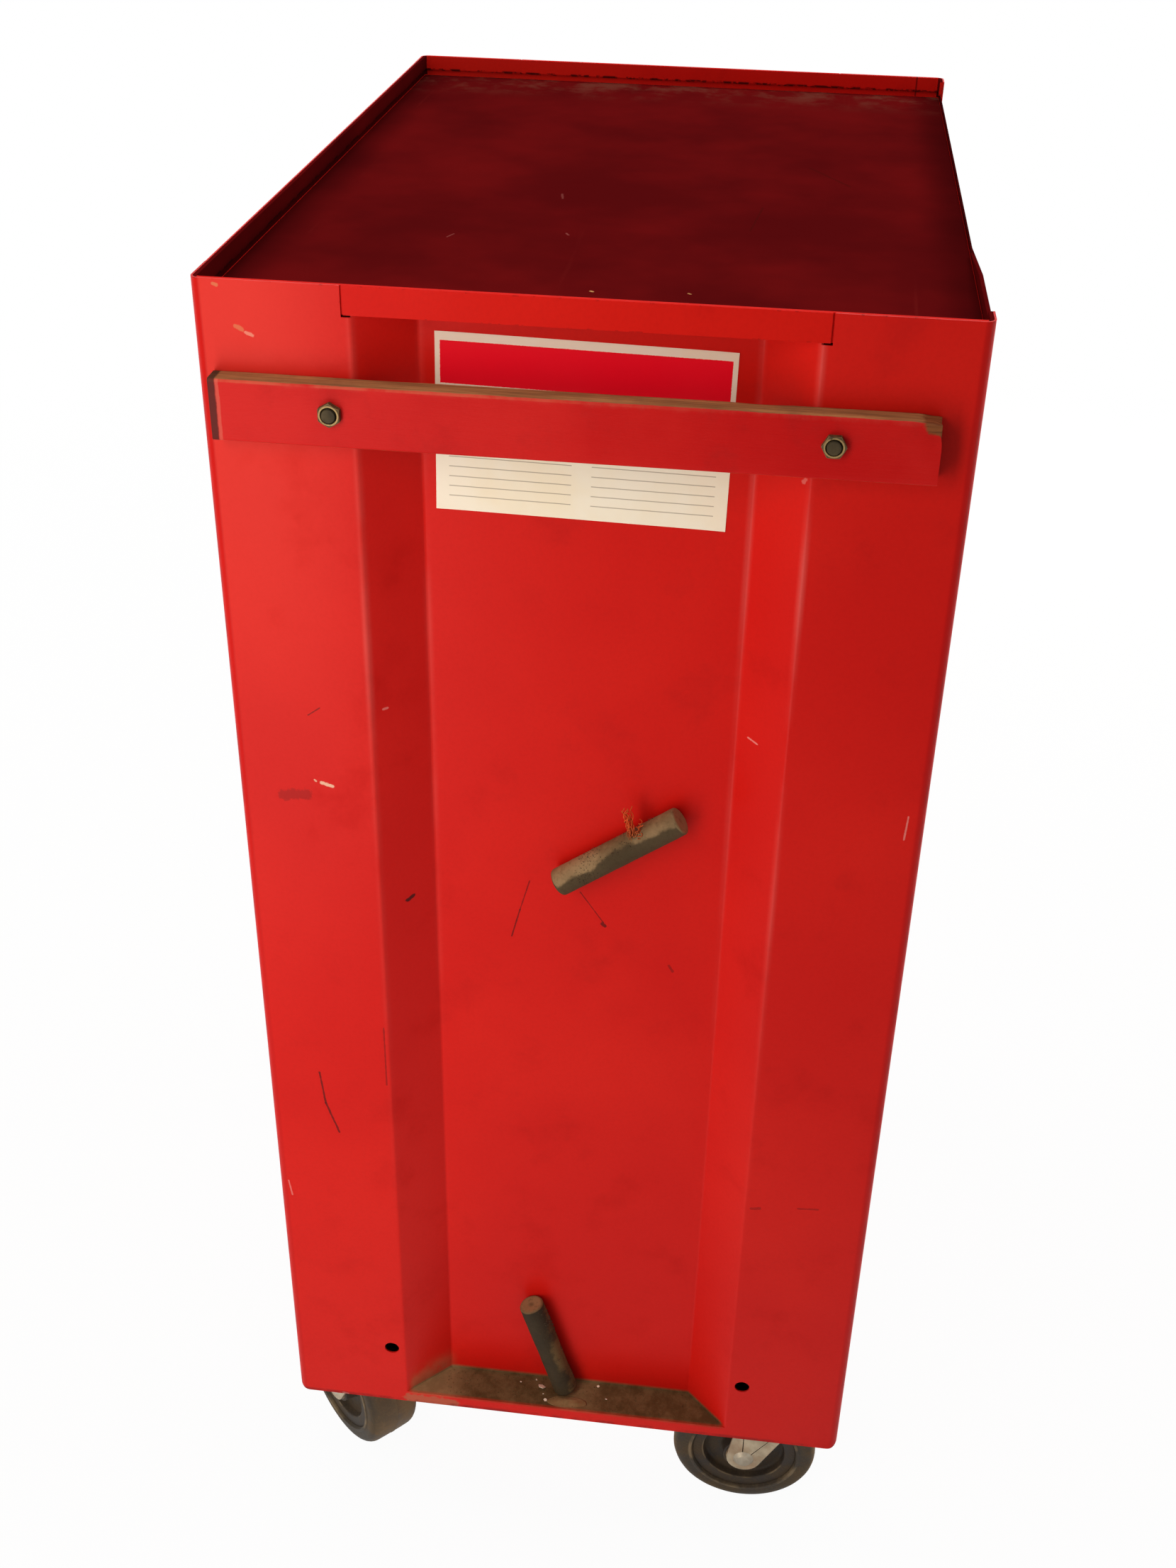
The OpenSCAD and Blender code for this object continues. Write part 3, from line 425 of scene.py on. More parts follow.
@dataclass(frozen=True)
class Enamel:
    """Red enamel on folded sheet, dulled by handling and chipped along its edges."""

    layout: Layout
    colour: Rgb = srgb(210, 22, 15)
    fresh: Rgb = srgb(220, 30, 20)
    dull: Rgb = srgb(166, 14, 11)
    bare: Rgb = srgb(70, 22, 17)
    roughness: float = 0.4
    gloss: float = 0.1

    def coat(self, shader: Shader) -> tuple[Value, Value, Value]:
        """Plain worn enamel.

        Args:
            shader: Material that gets the coat.

        Returns:
            Colour, roughness and height.
        """
        broad = shader.noise(5.0, 3.0)
        handled = shader.noise(19.0, 5.0, 0.62).smooth(0.52, 0.78)
        fine = shader.noise(420.0, 2.0)
        edge = shader.edges(1.6 * MM)
        chips = edge.smooth(0.02, 0.2) * shader.noise(170.0, 4.0, 0.7).smooth(0.56, 0.66)
        colour = shader.mix(broad.smooth(0.3, 0.7), self.colour, self.fresh)
        colour = shader.layers(colour, (handled * 0.28, self.dull),
                               (fine.smooth(0.35, 0.75) * 0.08, self.dull), (chips * 0.75, self.bare))
        roughness = self.roughness + handled * 0.14 + (fine - 0.5) * 0.1 + chips * 0.2
        height = broad * 1.6 + shader.noise(700.0, 1.0) * 0.05 - chips * 0.3
        return colour, roughness, height

    def finish(self, shader: Shader, colour: Value, roughness: Value, height: Value) -> bpy.types.Material:
        """Ends an enamel material."""
        return shader.surface(colour, roughness, Normal=shader.bump(height, 0.7 * MM),
                              Specular_IOR_Level=self.gloss)

    def panel(self, name: str = "red_enamel") -> bpy.types.Material:
        """Enamel of the plain panels."""
        shader = Shader(name)
        return self.finish(shader, *self.coat(shader))

    def push_end(self) -> bpy.types.Material:
        """Enamel of the push rail end: its marks, the dust on its ledge, painted shade along the outer bends,
        painted light on the upper left, painted highlights along the folds and darker outer corners and foot.
        """
        shader = Shader("red_enamel_push_end")
        colour, roughness, height = self.coat(shader)
        ragged = shader.noise(260.0, 4.0, 0.7)
        marks = [(mark.mask(shader.y, shader.z, ragged), mark.kind) for mark in END_MARKS]
        place = self.layout
        # Painted shade in a band along the rounded outer bends.
        bend_shade = abs(shader.y).smooth(place.half_d - 7 * MM, place.half_d - 5 * MM)
        # Painted light: a brighter patch on the upper left of the end, kept off the bends.
        upper_left_light = shader.y.smooth(-0.12, -0.2) * shader.z.smooth(0.75, 1.08) * (1.0 - bend_shade)
        # Painted highlights along the outer and inner folds, broken up by noise and fading towards the
        # bottom.
        worn = shader.noise(9.0, 3.0, 0.5).smooth(0.25, 0.75) * shader.z.smooth(0.3, 1.06)
        lines = [(abs(abs(shader.y) - fold).smooth(3.8 * MM, 0.0) * worn * share, Wear.WHITE)
                 for fold, share in ((place.half_mouth, 0.22), (place.half_recess, 0.14))]
        # Darker colour along the outer corners and the foot, broken up by noise.
        corners = abs(shader.y).smooth(place.half_d - 3 * MM, place.half_d - 1 * MM)
        corners = corners * shader.x.smooth(place.half_w - 3.5 * MM, place.half_w - 1.5 * MM)
        foot = shader.z.smooth(place.foot_z + 4.5 * MM, place.foot_z + 1.5 * MM)
        rubbed = corners.most(foot) * shader.noise(36.0, 5.0, 0.65).smooth(0.4, 0.6)
        dust = LedgeDust(self.layout)
        cover = dust.cover(shader)
        colour = shader.layers(colour, *marks, (bend_shade * 0.35, Tint.BEND), (upper_left_light * 0.5, Tint.FADED), *lines,
                               (rubbed * 0.55, Tint.RUBBED), (cover, dust.colour(shader)))
        return self.finish(shader, colour, roughness + cover * 0.5, height)

    def tray(self) -> bpy.types.Material:
        """Enamel of the tray: floor and inner walls darkened with painted shade, grime along its far edge,
        and a painted shadow line with chips under its hem.
        """
        shader = Shader("red_enamel_tray")
        colour, roughness, height = self.coat(shader)
        place = self.layout
        facing_x, facing_y, facing_z = shader.split(shader.facing)
        floor = shader.z.smooth(place.tray_z + 3 * MM, place.tray_z + 0.6 * MM) * facing_z.smooth(0.2, 0.6)
        cloud = shader.noise(6.0, 4.0, 0.6)
        # Painted shade on the tray floor and inner walls, varied in patches.
        tray_shade = shader.mix(cloud.smooth(0.35, 0.7), Tint.OIL_DEEP.value, Tint.OIL_THIN.value)
        above = shader.z.smooth(place.tray_z + 0.3 * MM, place.tray_z + 0.8 * MM)
        flank = abs(shader.y).smooth(place.half_d - 5 * MM, place.half_d - 4 * MM)
        inward = (facing_y * shader.y).smooth(-0.02, -0.06).most(facing_z.smooth(0.05, 0.3))
        near = shader.x.smooth(place.half_w - 5 * MM, place.half_w - 4 * MM) * facing_x.smooth(-0.3, -0.7)
        walls = above * (flank * inward).most(near)
        low = shader.z.smooth(place.tray_z + 10 * MM, place.tray_z + 1 * MM)
        beside = abs(shader.y).smooth(place.half_d - 36 * MM, place.half_d - 5 * MM) * floor
        far = shader.x.smooth(-place.half_w + 85 * MM, -place.half_w + 4 * MM)
        grime = far * floor * shader.noise(30.0, 5.0, 0.65).smooth(0.42, 0.66)
        streak = shader.noise(9.0, 3.0, 0.6, (0.35, 8.0, 1.0)).smooth(0.64, 0.8) * floor
        # Dark line along the hem's lower edge inside the tray: partly painted shadow under the hem, partly
        # chips.
        hem = abs(shader.z - (place.rim_z - place.hem_h)).smooth(1.6 * MM, 0.5 * MM)
        inside = abs(shader.x).smooth(place.half_w - 1.6 * MM, place.half_w - 2.2 * MM)
        hem_shadow_and_chips = hem * inside * shader.noise(120.0, 4.0, 0.7).smooth(0.44, 0.56)
        seam = abs(shader.y - place.seam_y).smooth(0.9 * MM, 0.4 * MM)
        seam = seam * shader.x.smooth(-0.32, -0.325) * above
        ragged = shader.noise(260.0, 4.0, 0.7)
        marks = [(mark.mask(shader.x, shader.y, ragged) * floor, mark.kind) for mark in TRAY_MARKS]
        colour = shader.layers(
            colour, ((floor * 0.96).most(walls * 0.94), tray_shade), (walls * (low * 0.4 + 0.3), Tint.WALL_SHADE),
            (beside * 0.55, Tint.SIDE_SHADE), (grime * 0.6, Tint.FAR_GRIME), (streak * 0.3, Tint.STREAK),
            (hem_shadow_and_chips * 0.85, Tint.HEM_CHIP), (seam * 0.7, Tint.SEAM), *marks)
        roughness = roughness + grime * 0.3 + hem_shadow_and_chips * 0.2 + floor * 0.12
        return shader.surface(colour, roughness, Normal=shader.bump(height, 0.7 * MM), Specular_IOR_Level=0.0,
                              Coat_Weight=(1.0 - floor.most(walls)) * self.gloss, Coat_Roughness=0.35)


@dataclass(frozen=True)
class LedgeDust:
    """Brown workshop dust that lies on the ledge at the foot of the recess."""

    layout: Layout
    pale: Rgb = srgb(150, 122, 84)
    deep: Rgb = srgb(88, 66, 38)

    def cover(self, shader: Shader) -> Value:
        """1 where dust lies."""
        place = self.layout
        level = shader.z.smooth(place.ledge_z + 5 * MM, place.ledge_z + 0.2 * MM)
        above = shader.z.smooth(place.ledge_z - 3 * MM, place.ledge_z - 0.6 * MM)
        inside = shader.x.smooth(place.half_w + 0.6 * MM, place.half_w - 0.6 * MM) * 0.7
        inside = inside + shader.x.smooth(place.half_w - 1 * MM, place.half_w - 3 * MM) * 0.3
        mouth = abs(shader.y).smooth(place.half_mouth + 1 * MM, place.half_mouth - 6 * MM)
        patchy = shader.noise(60.0, 4.0, 0.6)
        corner = shader.y.smooth(-94 * MM, -112 * MM) * patchy.smooth(0.25, 0.6) * 0.55
        haze = shader.z.smooth(place.ledge_z + 30 * MM, place.ledge_z + 2 * MM) * corner
        return (level * patchy.smooth(0.1, 0.25)).most(haze) * above * inside * mouth

    def colour(self, shader: Shader) -> Value:
        """Colour of the dust, paler at the near corner and round the lower magnet."""
        corner = shader.y.smooth(-78 * MM, -104 * MM)
        foot = abs(shader.y - 12 * MM).smooth(24 * MM, 6 * MM)
        clumps = shader.noise(90.0, 5.0, 0.7).smooth(0.35, 0.7)
        return shader.mix((corner * 0.7 + foot * 0.35 + clumps * 0.35).least(1.0), self.deep, self.pale)


@dataclass(frozen=True)
class Timber:
    """Push rail board: red paint on its face, bare worn wood on its edges."""

    top_z: float
    left_y: float
    right_y: float
    paint: Rgb = srgb(197, 16, 15)
    pale_wood: Rgb = srgb(184, 130, 82)
    dark_wood: Rgb = srgb(126, 84, 52)
    dirty_wood: Rgb = srgb(104, 74, 52)
    split_pale: Rgb = srgb(140, 82, 46)
    split_dark: Rgb = srgb(98, 52, 27)
    # Near-black colour of the end faces and of a strip at the left end.
    dark_end: Rgb = srgb(38, 26, 20)
    fresh_paint: Rgb = srgb(207, 28, 24)
    dirty_paint: Rgb = srgb(150, 24, 22)
    rubbed_paint: Rgb = srgb(206, 84, 72)
    arris_paint: Rgb = srgb(214, 124, 88)
    border_paint: Rgb = srgb(222, 130, 108)

    def material(self) -> bpy.types.Material:
        """Paint over grain."""
        shader = Shader("painted_timber")
        facing_x, facing_y, _ = shader.split(shader.facing)
        grain = shader.noise(60.0, 6.0, 0.65, (6.0, 0.25, 6.0))
        dirty = shader.noise(26.0, 5.0, 0.65).smooth(0.5, 0.72)
        wood = shader.mix(grain.smooth(0.3, 0.72), self.dark_wood, self.pale_wood)
        wood = shader.layers(wood, (dirty * 0.4, self.dirty_wood),
                             (abs(facing_y).smooth(0.5, 0.9) * 0.85, self.dark_end))
        rubbed = shader.z.smooth(self.top_z - 7 * MM, self.top_z - 1 * MM) * shader.noise(90.0, 4.0, 0.7)
        arris = shader.z.smooth(self.top_z - 2.2 * MM, self.top_z - 1.4 * MM) * shader.y.smooth(0.12, -0.1)
        arris = arris * shader.noise(40.0, 4.0, 0.6).smooth(0.3, 0.6)
        paint = shader.mix(shader.noise(12.0, 4.0).smooth(0.35, 0.7), self.paint, self.fresh_paint)
        paint = shader.layers(paint, (dirty * 0.25, self.dirty_paint),
                              (rubbed.smooth(0.3, 0.7) * 0.2, self.rubbed_paint),
                              (arris * 0.35, self.arris_paint))
        ragged = (shader.noise(150.0, 4.0, 0.7) - 0.5) * 1.1
        painted = (facing_x + ragged * 0.5).smooth(0.35, 0.6)
        from_left = shader.y - self.left_y + ragged * 1.2 * MM
        border = from_left.between(4.6 * MM, 6.2 * MM, 0.6 * MM) * painted
        across, down = shader.y - self.right_y, (shader.z - self.top_z) * 1.4
        corner = (across * across + down * down).root() + ragged * 6 * MM
        split = shader.mix(grain.smooth(0.35, 0.65), self.split_dark, self.split_pale)
        # A strip at the left end of the board also takes the near-black end colour.
        colour = shader.layers(wood, (painted, paint), (border * 0.3, self.border_paint),
                               (from_left.smooth(5 * MM, 3.6 * MM) * 0.85, self.dark_end),
                               (corner.smooth(13 * MM, 10 * MM), split))
        roughness = 0.72 - painted * 0.3 + dirty * 0.08
        height = grain * 0.8 + shader.noise(600.0, 2.0) * 0.1
        return shader.surface(colour, roughness, Normal=shader.bump(height, 0.5 * MM), Specular_IOR_Level=0.1)


@dataclass(frozen=True)
class Metal:
    """Bare or plated metal with grime in patches."""

    name: str
    bright: Rgb
    dark: Rgb
    grime: Rgb
    roughness: float
    metallic: float = 0.85
    grime_share: float = 0.5
    brushed: Point | None = None
    shine: float = 0.4

    def material(self) -> bpy.types.Material:
        """Plated surface with stains."""
        shader = Shader(self.name)
        tone = shader.noise(55.0, 5.0, 0.6, self.brushed)
        stain = shader.noise(24.0, 5.0, 0.66).smooth(0.48, 0.7) * self.grime_share
        lines = shader.noise(160.0, 3.0, 0.6, self.brushed)
        colour = shader.mix(tone.smooth(0.3, 0.72), self.dark, self.bright)
        colour = shader.mix(stain, colour, self.grime)
        roughness = self.roughness + stain * 0.3 + (lines - 0.5) * 0.18
        height = lines * 0.4 + stain * 0.3
        return shader.surface(colour, roughness, Metallic=self.metallic - stain * 0.6,
                              Normal=shader.bump(height, 0.25 * MM), Specular_IOR_Level=self.shine)


BOLT_END = Metal("bolt_end_dark", srgb(84, 72, 50), srgb(46, 39, 26), srgb(30, 23, 17), roughness=0.6,
                 metallic=0.25, shine=0.15)


@dataclass(frozen=True)
class NutFinish:
    """Yellow zinc gone brown, rubbed bright round the mouth of the thread."""

    middle_y: float
    span_y: float
    level_z: float
    mouth_r: float
    shoulder_r: float
    pale: Rgb = srgb(92, 74, 44)
    deep: Rgb = srgb(54, 43, 25)
    bright: Rgb = srgb(196, 164, 108)
    shade: Rgb = srgb(34, 27, 17)

    def material(self) -> bpy.types.Material:
        """Brown nut with a bright ring and rubbed edges."""
        shader = Shader("nut_yellow_zinc")
        aside = abs(shader.y - self.middle_y) - self.span_y
        above = shader.z - self.level_z
        out = (aside * aside + above * above).root()
        tone = shader.noise(220.0, 4.0, 0.6)
        front = shader.split(shader.facing)[0].smooth(0.5, 0.9)
        ring = out.between(self.mouth_r - 0.1 * MM, self.shoulder_r - 0.3 * MM, 0.25 * MM) * front
        rubbed = (ring * 0.55).most(shader.edges(0.8 * MM).smooth(0.02, 0.15) * 0.4)
        mouth = out.smooth(self.mouth_r, self.mouth_r - 0.4 * MM)
        colour = shader.mix(tone.smooth(0.3, 0.7), self.deep, self.pale)
        colour = shader.layers(colour, (rubbed * tone.smooth(0.28, 0.5), self.bright),
                               (mouth * 0.85, self.shade))
        return shader.surface(colour, 0.5 + (tone - 0.5) * 0.3, Metallic=0.3, Specular_IOR_Level=0.25,
                              Normal=shader.bump(tone, 0.15 * MM))


@dataclass(frozen=True)
class SwarfRust:
    """Rust on curly swarf, brown at its root and orange above."""

    root_z: float
    rise: float
    root: Rgb = srgb(134, 94, 56)
    tip: Rgb = srgb(216, 92, 44)
    spots: Rgb = srgb(170, 62, 30)

    def material(self) -> bpy.types.Material:
        """Rust that brightens upwards."""
        shader = Shader("rusty_swarf")
        tone = shader.noise(300.0, 3.0, 0.6)
        upper = shader.z.smooth(self.root_z - 4 * MM, self.root_z + self.rise * 0.45)
        colour = shader.layers(self.root, (upper, self.tip), (tone.smooth(0.35, 0.7) * 0.55, self.spots))
        return shader.surface(colour, 0.7 + (tone - 0.5) * 0.2, Specular_IOR_Level=0.1)


@dataclass(frozen=True)
class Rubber:
    """Hard dusty rubber of the tyres, or the moulded core inside them."""

    name: str
    deep: Rgb
    dust: Rgb
    dust_share: float
    # Paler colour of the side rings: partly painted highlight, partly wear and dust.
    worn: Rgb = srgb(168, 148, 116)

    def material(self) -> bpy.types.Material:
        """Dusty moulding, with paler side rings that are partly painted highlight and partly wear."""
        shader = Shader(self.name)
        tread, crest = shader.attribute("tread"), shader.attribute("crest")
        patches = shader.noise(30.0, 5.0, 0.62).smooth(0.36, 0.7)
        grit = shader.noise(480.0, 3.0, 0.6)
        share = patches * self.dust_share + grit.smooth(0.5, 0.8) * 0.18 + tread * (0.45 + patches * 0.35)
        # Side rings paler in patches: partly painted highlight, partly wear.
        rubbed = crest * shader.noise(30.0, 3.0, 0.6).smooth(0.42, 0.62)
        colour = shader.layers(self.deep, (share.least(1.0), self.dust), (rubbed * 0.4, self.worn))
        roughness = 0.62 + patches * 0.22
        return shader.surface(colour, roughness, Normal=shader.bump(grit + patches, 0.25 * MM),
                              Specular_IOR_Level=0.3)


@dataclass(frozen=True)
class MagnetSkin:
    """Dull magnet bar with filings baked onto it."""

    name: str
    pale: Rgb
    deep: Rgb
    patch: Rgb
    end: Rgb

    def material(self) -> bpy.types.Material:
        """Grey-brown bar, darker on its lower side with dark patches that are partly dirt and partly painted
        shade; paler on its upward end and darkened with painted shade on its downward end.
        """
        shader = Shader(self.name)
        broad = shader.noise(26.0, 5.0, 0.62)
        fine = shader.noise(330.0, 4.0, 0.7)
        # Darker on the downward-facing side, broken up by noise: partly dirt, partly painted shade.
        under = (shader.split(shader.facing)[2] + (broad - 0.5) * 1.5).smooth(0.42, 0.18)
        # The end attribute is positive on the upward end, which is painted paler, and negative on the
        # downward end, which is darkened with painted shade.
        end = shader.attribute("end")
        colour = shader.layers(
            self.deep, (broad.smooth(0.36, 0.66), self.pale), (under * 0.85, self.patch),
            (end.smooth(0.1, 0.5), self.end), (end.smooth(0.75, 0.95) * 0.5, self.deep),
            (end.smooth(-0.1, -0.4) * 0.8, self.patch), (fine.smooth(0.5, 0.72) * 0.4, self.patch))
        height = fine * 0.8 + broad
        return shader.surface(colour, 0.74 + (fine - 0.5) * 0.2, Normal=shader.bump(height, 0.4 * MM),
                              Specular_IOR_Level=0.2)


@dataclass(frozen=True)
class CardPrint:
    """Blank cream card with a plain band and ruled lines, on its own UV map."""

    width: float
    height: float
    margin: float = 3.2 * MM
    band_top: float = 5.5 * MM
    band_h: float = 26 * MM
    rule_gap: float = 6.4 * MM
    paper: Rgb = srgb(255, 247, 226)
    yellow: Rgb = srgb(252, 236, 202)
    rule: Rgb = srgb(120, 100, 80)
    band: Rgb = srgb(255, 8, 38)

    def material(self) -> bpy.types.Material:
        """Printed card."""
        shader = Shader("blank_card")
        u, v, _ = shader.split(shader.node("ShaderNodeUVMap", {"uv_map": "card"}))
        across = u * self.width
        down = (1.0 - v) * self.height
        fray = (shader.noise(900.0, 2.0) - 0.5) * 0.5 * MM
        band = (down + fray).between(self.band_top, self.band_top + self.band_h, 0.25 * MM)
        band = band * (across + fray).between(self.margin, self.width - self.margin, 0.25 * MM)
        column = abs(abs(across - self.width / 2) - self.width / 4 + 1 * MM)
        ruled = column.smooth(self.width / 4 - 7 * MM, self.width / 4 - 7.3 * MM)
        rows = ((down - self.band_top - self.band_h) * (2 * math.pi / self.rule_gap)).wave()
        body = down.between(self.band_top + self.band_h + 4 * MM, self.height - 8 * MM, 0.2 * MM)
        lines = rows.smooth(0.93, 0.985) * ruled * body
        yellowed = shader.noise(20.0, 4.0, 0.6).smooth(0.35, 0.75)
        colour = shader.layers(self.paper, (yellowed * 0.6, self.yellow), (lines * 0.6, self.rule),
                               (band, self.band))
        return shader.surface(colour, 0.42 + yellowed * 0.12, Specular_IOR_Level=0.12,
                              Normal=shader.bump(shader.noise(250.0), 0.08 * MM))


class Pieces:
    def __init__(self) -> None:
        """Starts with nothing made."""
        self.made: list[str] = []

    def add(self, name: str, mesh: bpy.types.Mesh, material: bpy.types.Material, body: str,
            slot: str | None = None, replaces: Iterable[str] = ()) -> bpy.types.Object:
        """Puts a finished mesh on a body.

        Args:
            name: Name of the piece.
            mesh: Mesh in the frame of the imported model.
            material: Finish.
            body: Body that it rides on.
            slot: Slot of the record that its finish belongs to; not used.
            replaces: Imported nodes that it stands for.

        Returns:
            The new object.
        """
        mesh.materials.clear()
        mesh.materials.append(material)
        piece = bpy.data.objects.new(name, mesh)
        bpy.context.scene.collection.objects.link(piece)
        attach(piece, body)
        nodes = list(replaces)
        if nodes:
            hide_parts(*nodes)
        self.made.append(name)
        LOG.info("piece %s on %s, %d faces", name, body, len(mesh.polygons))
        return piece


def mesh_from(name: str, work: bmesh.types.BMesh, smooth_under: float = math.radians(40)) -> bpy.types.Mesh:
    """Turns a work mesh into a mesh with outward faces and sharp edges where it turns.

    Args:
        name: Name of the mesh.
        work: Work mesh, which is freed.
        smooth_under: Edges that turn more than this stay sharp.

    Returns:
        The finished mesh.
    """
    bmesh.ops.remove_doubles(work, verts=work.verts, dist=JOINED)
    bmesh.ops.recalc_face_normals(work, faces=work.faces)
    for face in work.faces:
        face.smooth = True
    for edge in work.edges:
        edge.smooth = edge.is_manifold and edge.calc_face_angle(0.0) < smooth_under
    mesh = bpy.data.meshes.new(name)
    work.to_mesh(mesh)
    work.free()
    return mesh


def rounded_profile(points: Sequence[Point], steps: int = 5) -> Outline:
    """Rounds the corners of a closed outline.

    Args:
        points: Corners as two coordinates and a radius.
        steps: Segments in each corner.

    Returns:
        Points of the rounded outline.
    """
    outline = []
    for i, (a, b, radius) in enumerate(points):
        corner = Vector((a, b))
        if radius <= 0:
            outline.append((a, b))
            continue
        before = (Vector(points[i - 1][:2]) - corner).normalized()
        after = (Vector(points[(i + 1) % len(points)][:2]) - corner).normalized()
        half = before.angle(after) / 2
        centre = corner + (before + after).normalized() * radius / math.sin(half)
        start = corner + before * radius / math.tan(half) - centre
        end = corner + after * radius / math.tan(half) - centre
        sweep = end.angle_signed(start)
        for k in range(steps + 1):
            outline.append(tuple(centre + Matrix.Rotation(sweep * k / steps, 2) @ start))
    return outline


def bridge(work: bmesh.types.BMesh, rings: Sequence[Sequence[bmesh.types.BMVert]],
           closed: bool = False) -> None:
    """Joins rings of vertices, one after another.

    Args:
        work: Work mesh that gets the faces.
        rings: Rings of one length, or of a single vertex.
        closed: Whether the last ring joins the first.
    """
    pairs = list(zip(rings, rings[1:]))
    if closed:
        pairs.append((rings[-1], rings[0]))
    for ring, following in pairs:
        count = max(len(ring), len(following))
        for k in range(count):
            after = (k + 1) % count
            corners = [ring[k % len(ring)], ring[after % len(ring)],
                       following[after % len(following)], following[k % len(following)]]
            work.faces.new(list(dict.fromkeys(corners)))


def lathe(work: bmesh.types.BMesh, outline: Outline, place: Matrix, count: int = 96) -> None:
    """Turns an outline of radius and height about the Z axis of a place.

    Args:
        work: Work mesh that gets the faces.
        outline: Closed outline, or one that starts and ends on the axis.
        place: Where the axis lies.
        count: Segments round the axis.
    """
    rings = []
    for radius, height in outline:
        turns = range(count if radius > 1e-9 else 1)
        angles = [2 * math.pi * k / count for k in turns]
        rings.append([work.verts.new(place @ Vector((radius * math.cos(a), radius * math.sin(a), height)))
                      for a in angles])
    bridge(work, rings, len(rings[0]) > 1)


def axis_frame(centre: Vector, axis: Vector) -> Matrix:
    """A frame at a centre whose Z runs along an axis."""
    return Matrix.Translation(centre) @ axis.to_track_quat("Z", "Y").to_matrix().to_4x4()


def off_axis(point: Vector, centre: Vector, axis: Vector) -> Vector:
    """The way from an axis through a centre straight out to a point."""
    way = point - centre
    return way - axis * way.dot(axis)


class Grower:
    """Geometry Nodes trees, each turned into a plain mesh."""

    def __init__(self, name: str, sizes: dict[str, float]) -> None:
        """Makes a tree with one named input for each size."""
        self.group = bpy.data.node_groups.new(name, "GeometryNodeTree")
        self.group.interface.new_socket("Geometry", in_out="INPUT", socket_type="NodeSocketGeometry")
        self.group.interface.new_socket("Geometry", in_out="OUTPUT", socket_type="NodeSocketGeometry")
        self.sizes = sizes
        for key in sizes:
            self.group.interface.new_socket(key, in_out="INPUT", socket_type="NodeSocketFloat")
        self.tree = NodeTree(self.group)
        source = self.tree.node("NodeGroupInput").socket.node
        self.inputs = {socket.name: Value(self.tree, socket) for socket in source.outputs if socket.name}

    def node(self, kind: str, settings: dict[str, Any] | None = None,
             inputs: dict[int | str, Any] | None = None, output: int | str = 0) -> Value:
        """Adds a node to the tree."""
        return self.tree.node(kind, settings, inputs, output)

    def shape(self, source: bpy.types.Object) -> Value:
        """Geometry of an object that the tree repeats."""
        return self.node("GeometryNodeObjectInfo", {"transform_space": "ORIGINAL"}, {"Object": source},
                         "Geometry")

    def stand(self, points: Value, shape: Value, **others: Value | Point) -> Value:
        """Sets a shape on each point, with a Rotation and a Scale where given."""
        inputs = {"Points": points, "Instance": shape, **others}
        return self.node("GeometryNodeInstanceOnPoints", None, inputs)

    def wire(self, curve: Value, sides: int, radius: Value) -> Value:
        """Runs a round section of a few sides along a curve."""
        section = self.node("GeometryNodeCurvePrimitiveCircle", None,
                            {"Resolution": sides, "Radius": radius})
        return self.node("GeometryNodeCurveToMesh", None, {0: curve, 1: section, "Fill Caps": True})

    def grow(self, result: Value, base: bpy.types.Mesh, material: bpy.types.Material) -> bpy.types.Mesh:
        """Runs the tree on a base mesh.

        Args:
            result: Geometry that the tree ends in.
            base: Mesh that the tree starts from.
            material: Finish of the result.

        Returns:
            A plain mesh.
        """
        real = self.node("GeometryNodeRealizeInstances", None, {0: result})
        dressed = self.node("GeometryNodeSetMaterial", None, {"Geometry": real, "Material": material})
        self.node("NodeGroupOutput", None, {0: dressed})
        carrier = bpy.data.objects.new(self.group.name, base)
        bpy.context.scene.collection.objects.link(carrier)
        modifier = carrier.modifiers.new("grow", "NODES")
        modifier.node_group = self.group
        for item in self.group.interface.items_tree:
            if item.in_out == "INPUT" and item.name in self.sizes:
                modifier[item.identifier] = float(self.sizes[item.name])
        bpy.context.view_layer.update()
        evaluated = carrier.evaluated_get(bpy.context.evaluated_depsgraph_get())
        grown = bpy.data.meshes.new_from_object(evaluated)
        carrier.modifiers.remove(modifier)
        bpy.data.objects.remove(carrier)
        return grown


def plain_mesh(name: str, points: Iterable[Sequence[float]], edges: Sequence[tuple[int, int]] = (),
               faces: Sequence[Sequence[int]] = ()) -> bpy.types.Mesh:
    """A mesh of points, with edges or faces between them where given."""
    mesh = bpy.data.meshes.new(name)
    mesh.from_pydata([tuple(point) for point in points], edges, faces)
    return mesh


@dataclass(frozen=True)
class Lamp:
    """One soft lamp: where it hangs, the point it faces, its width and height, watts and colour."""

    name: str
    place: Point
    aim: Point
    size: tuple[float, float]
    power: float
    colour: Point
    mirrored: bool = True

    def build(self) -> None:
        """Hangs the lamp where the camera doesn't see it, and out of reflections unless mirrored."""
        data = bpy.data.lights.new(self.name, "AREA")
        data.shape = "RECTANGLE"
        data.size, data.size_y = self.size
        data.energy = self.power
        data.color = self.colour
        lamp = bpy.data.objects.new(self.name, data)
        lamp.location = self.place
        lamp.rotation_mode = "QUATERNION"
        lamp.rotation_quaternion = (Vector(self.aim) - Vector(self.place)).to_track_quat("-Z", "Y")
        lamp.visible_camera = False
        lamp.visible_glossy = self.mirrored
        bpy.context.scene.collection.objects.link(lamp)


